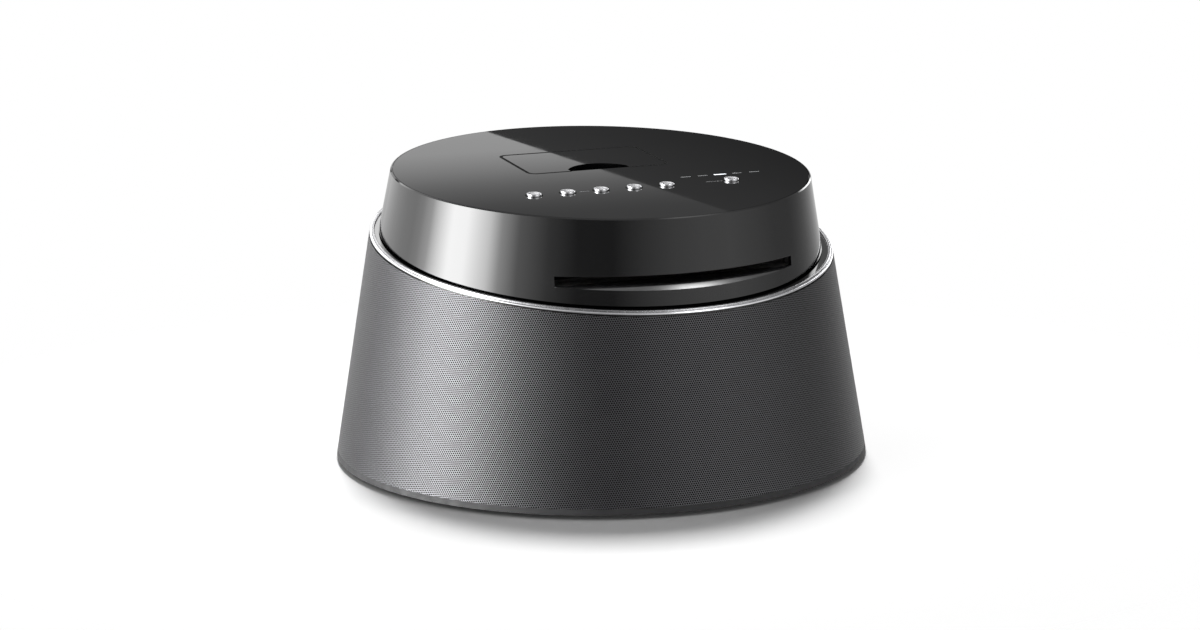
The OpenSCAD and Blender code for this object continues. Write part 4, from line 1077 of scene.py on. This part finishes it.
def area_lamp(name, place, target, size, power):
    data = bpy.data.lights.new(name, "AREA")
    data.shape = "RECTANGLE"
    data.size, data.size_y = size
    data.energy = power
    obj = add_object(name, data)
    obj.location = place
    obj.rotation_euler = (Vector(target) - Vector(place)).to_track_quat("-Z", "Y").to_euler()
    obj.visible_glossy = False
    obj.visible_camera = False


def floor_paper(studio):
    """White paper. To the camera it is whiter still and fades into the background."""
    material = bpy.data.materials.new("floor_paper")
    material.use_nodes = True
    graph = Nodes(material.node_tree)
    path = graph.add("ShaderNodeLightPath")
    paper = graph.add("ShaderNodeBsdfDiffuse", {"Color": (0.8, 0.8, 0.8, 1)})
    seen = graph.add("ShaderNodeBsdfDiffuse", {"Color": (*(studio.floor_white,) * 3, 1)})
    far = graph.vector("LENGTH", graph.object_place())
    share = graph.span((far, "Value"), studio.floor_radius, 2 * studio.floor_radius,
                       smooth=True)
    faded = graph.add("ShaderNodeMixShader",
                      {0: share, 1: seen, 2: graph.add("ShaderNodeBsdfTransparent")})
    mix = graph.add("ShaderNodeMixShader", {0: (path, "Is Camera Ray"), 1: paper, 2: faded})
    graph.add("ShaderNodeOutputMaterial", {"Surface": mix})
    return material


class PLAYER_OT_stage(bpy.types.Operator):
    """Set up the floor, the studio light and the camera"""
    bl_idname = "player.stage"
    bl_label = "Stage"
    floor_half = 4.0
    sensor = 36.0
    clip = 0.01

    def execute(self, context):
        studio = context.scene.player_studio
        bm = bmesh.new()
        bmesh.ops.create_grid(bm, x_segments=4, y_segments=4, size=self.floor_half)
        floor = add_mesh("floor", bm, [floor_paper(studio)])
        floor.visible_glossy = False
        studio_world()
        area_lamp("key_lamp", (-1.6, -0.3, 1.1), (0, 0, 0.08), (1.4, 1.2), studio.key)
        area_lamp("overhead_lamp", (0.42, 1.27, 3.23), (0, 0, 0), (0.75, 0.75),
                  studio.overhead)
        self.camera(studio)
        context.scene.view_settings.view_transform = "Standard"
        return {"FINISHED"}

    def camera(self, studio):
        data = bpy.data.cameras.new("camera")
        data.lens = studio.lens
        data.sensor_width = self.sensor
        data.clip_start = self.clip
        camera = add_object("camera", data)
        place = Vector(studio.camera_place)
        ahead = (Vector(studio.camera_target) - place).normalized()
        right = ahead.cross(UP).normalized()
        up = right.cross(ahead)
        roll = studio.camera_roll
        right, up = (right * math.cos(roll) + up * math.sin(roll),
                     up * math.cos(roll) - right * math.sin(roll))
        turn = Matrix((right, up, -ahead)).transposed().to_4x4()
        camera.matrix_world = Matrix.Translation(place) @ turn
        bpy.context.scene.camera = camera


class PLAYER_PT_pieces(bpy.types.Panel):
    bl_idname = "PLAYER_PT_pieces"
    bl_label = "Round disc player"
    bl_space_type = "VIEW_3D"
    bl_region_type = "UI"
    bl_category = "Player"

    def draw(self, context):
        layout = self.layout
        for operator in OPERATORS:
            layout.operator(operator.bl_idname)
        for key in GROUPS:
            group = getattr(context.scene, key)
            box = layout.box()
            for name in group.bl_rna.properties.keys():
                if name not in {"rna_type", "name"}:
                    box.prop(group, name)


GROUPS = {"player_sizes": PlayerSizes, "player_finish": PlayerFinish,
          "player_studio": PlayerStudio}
OPERATORS = (PLAYER_OT_sheet, PLAYER_OT_bead, PLAYER_OT_gloss, PLAYER_OT_buttons,
             PLAYER_OT_lamps, PLAYER_OT_dock, PLAYER_OT_slot, PLAYER_OT_base, PLAYER_OT_rear,
             PLAYER_OT_speakers, PLAYER_OT_boards, PLAYER_OT_loader, PLAYER_OT_stage)


def register():
    for group in (*GROUPS.values(), *OPERATORS, PLAYER_PT_pieces):
        bpy.utils.register_class(group)
    for name, group in GROUPS.items():
        setattr(bpy.types.Scene, name, PointerProperty(type=group))


def unregister():
    for name in GROUPS:
        delattr(bpy.types.Scene, name)
    for group in reversed((*GROUPS.values(), *OPERATORS, PLAYER_PT_pieces)):
        bpy.utils.unregister_class(group)


def main():
    register()
    for operator in OPERATORS:
        family, name = operator.bl_idname.split(".")
        getattr(getattr(bpy.ops, family), name)()


if __name__ == "__main__":
    main()
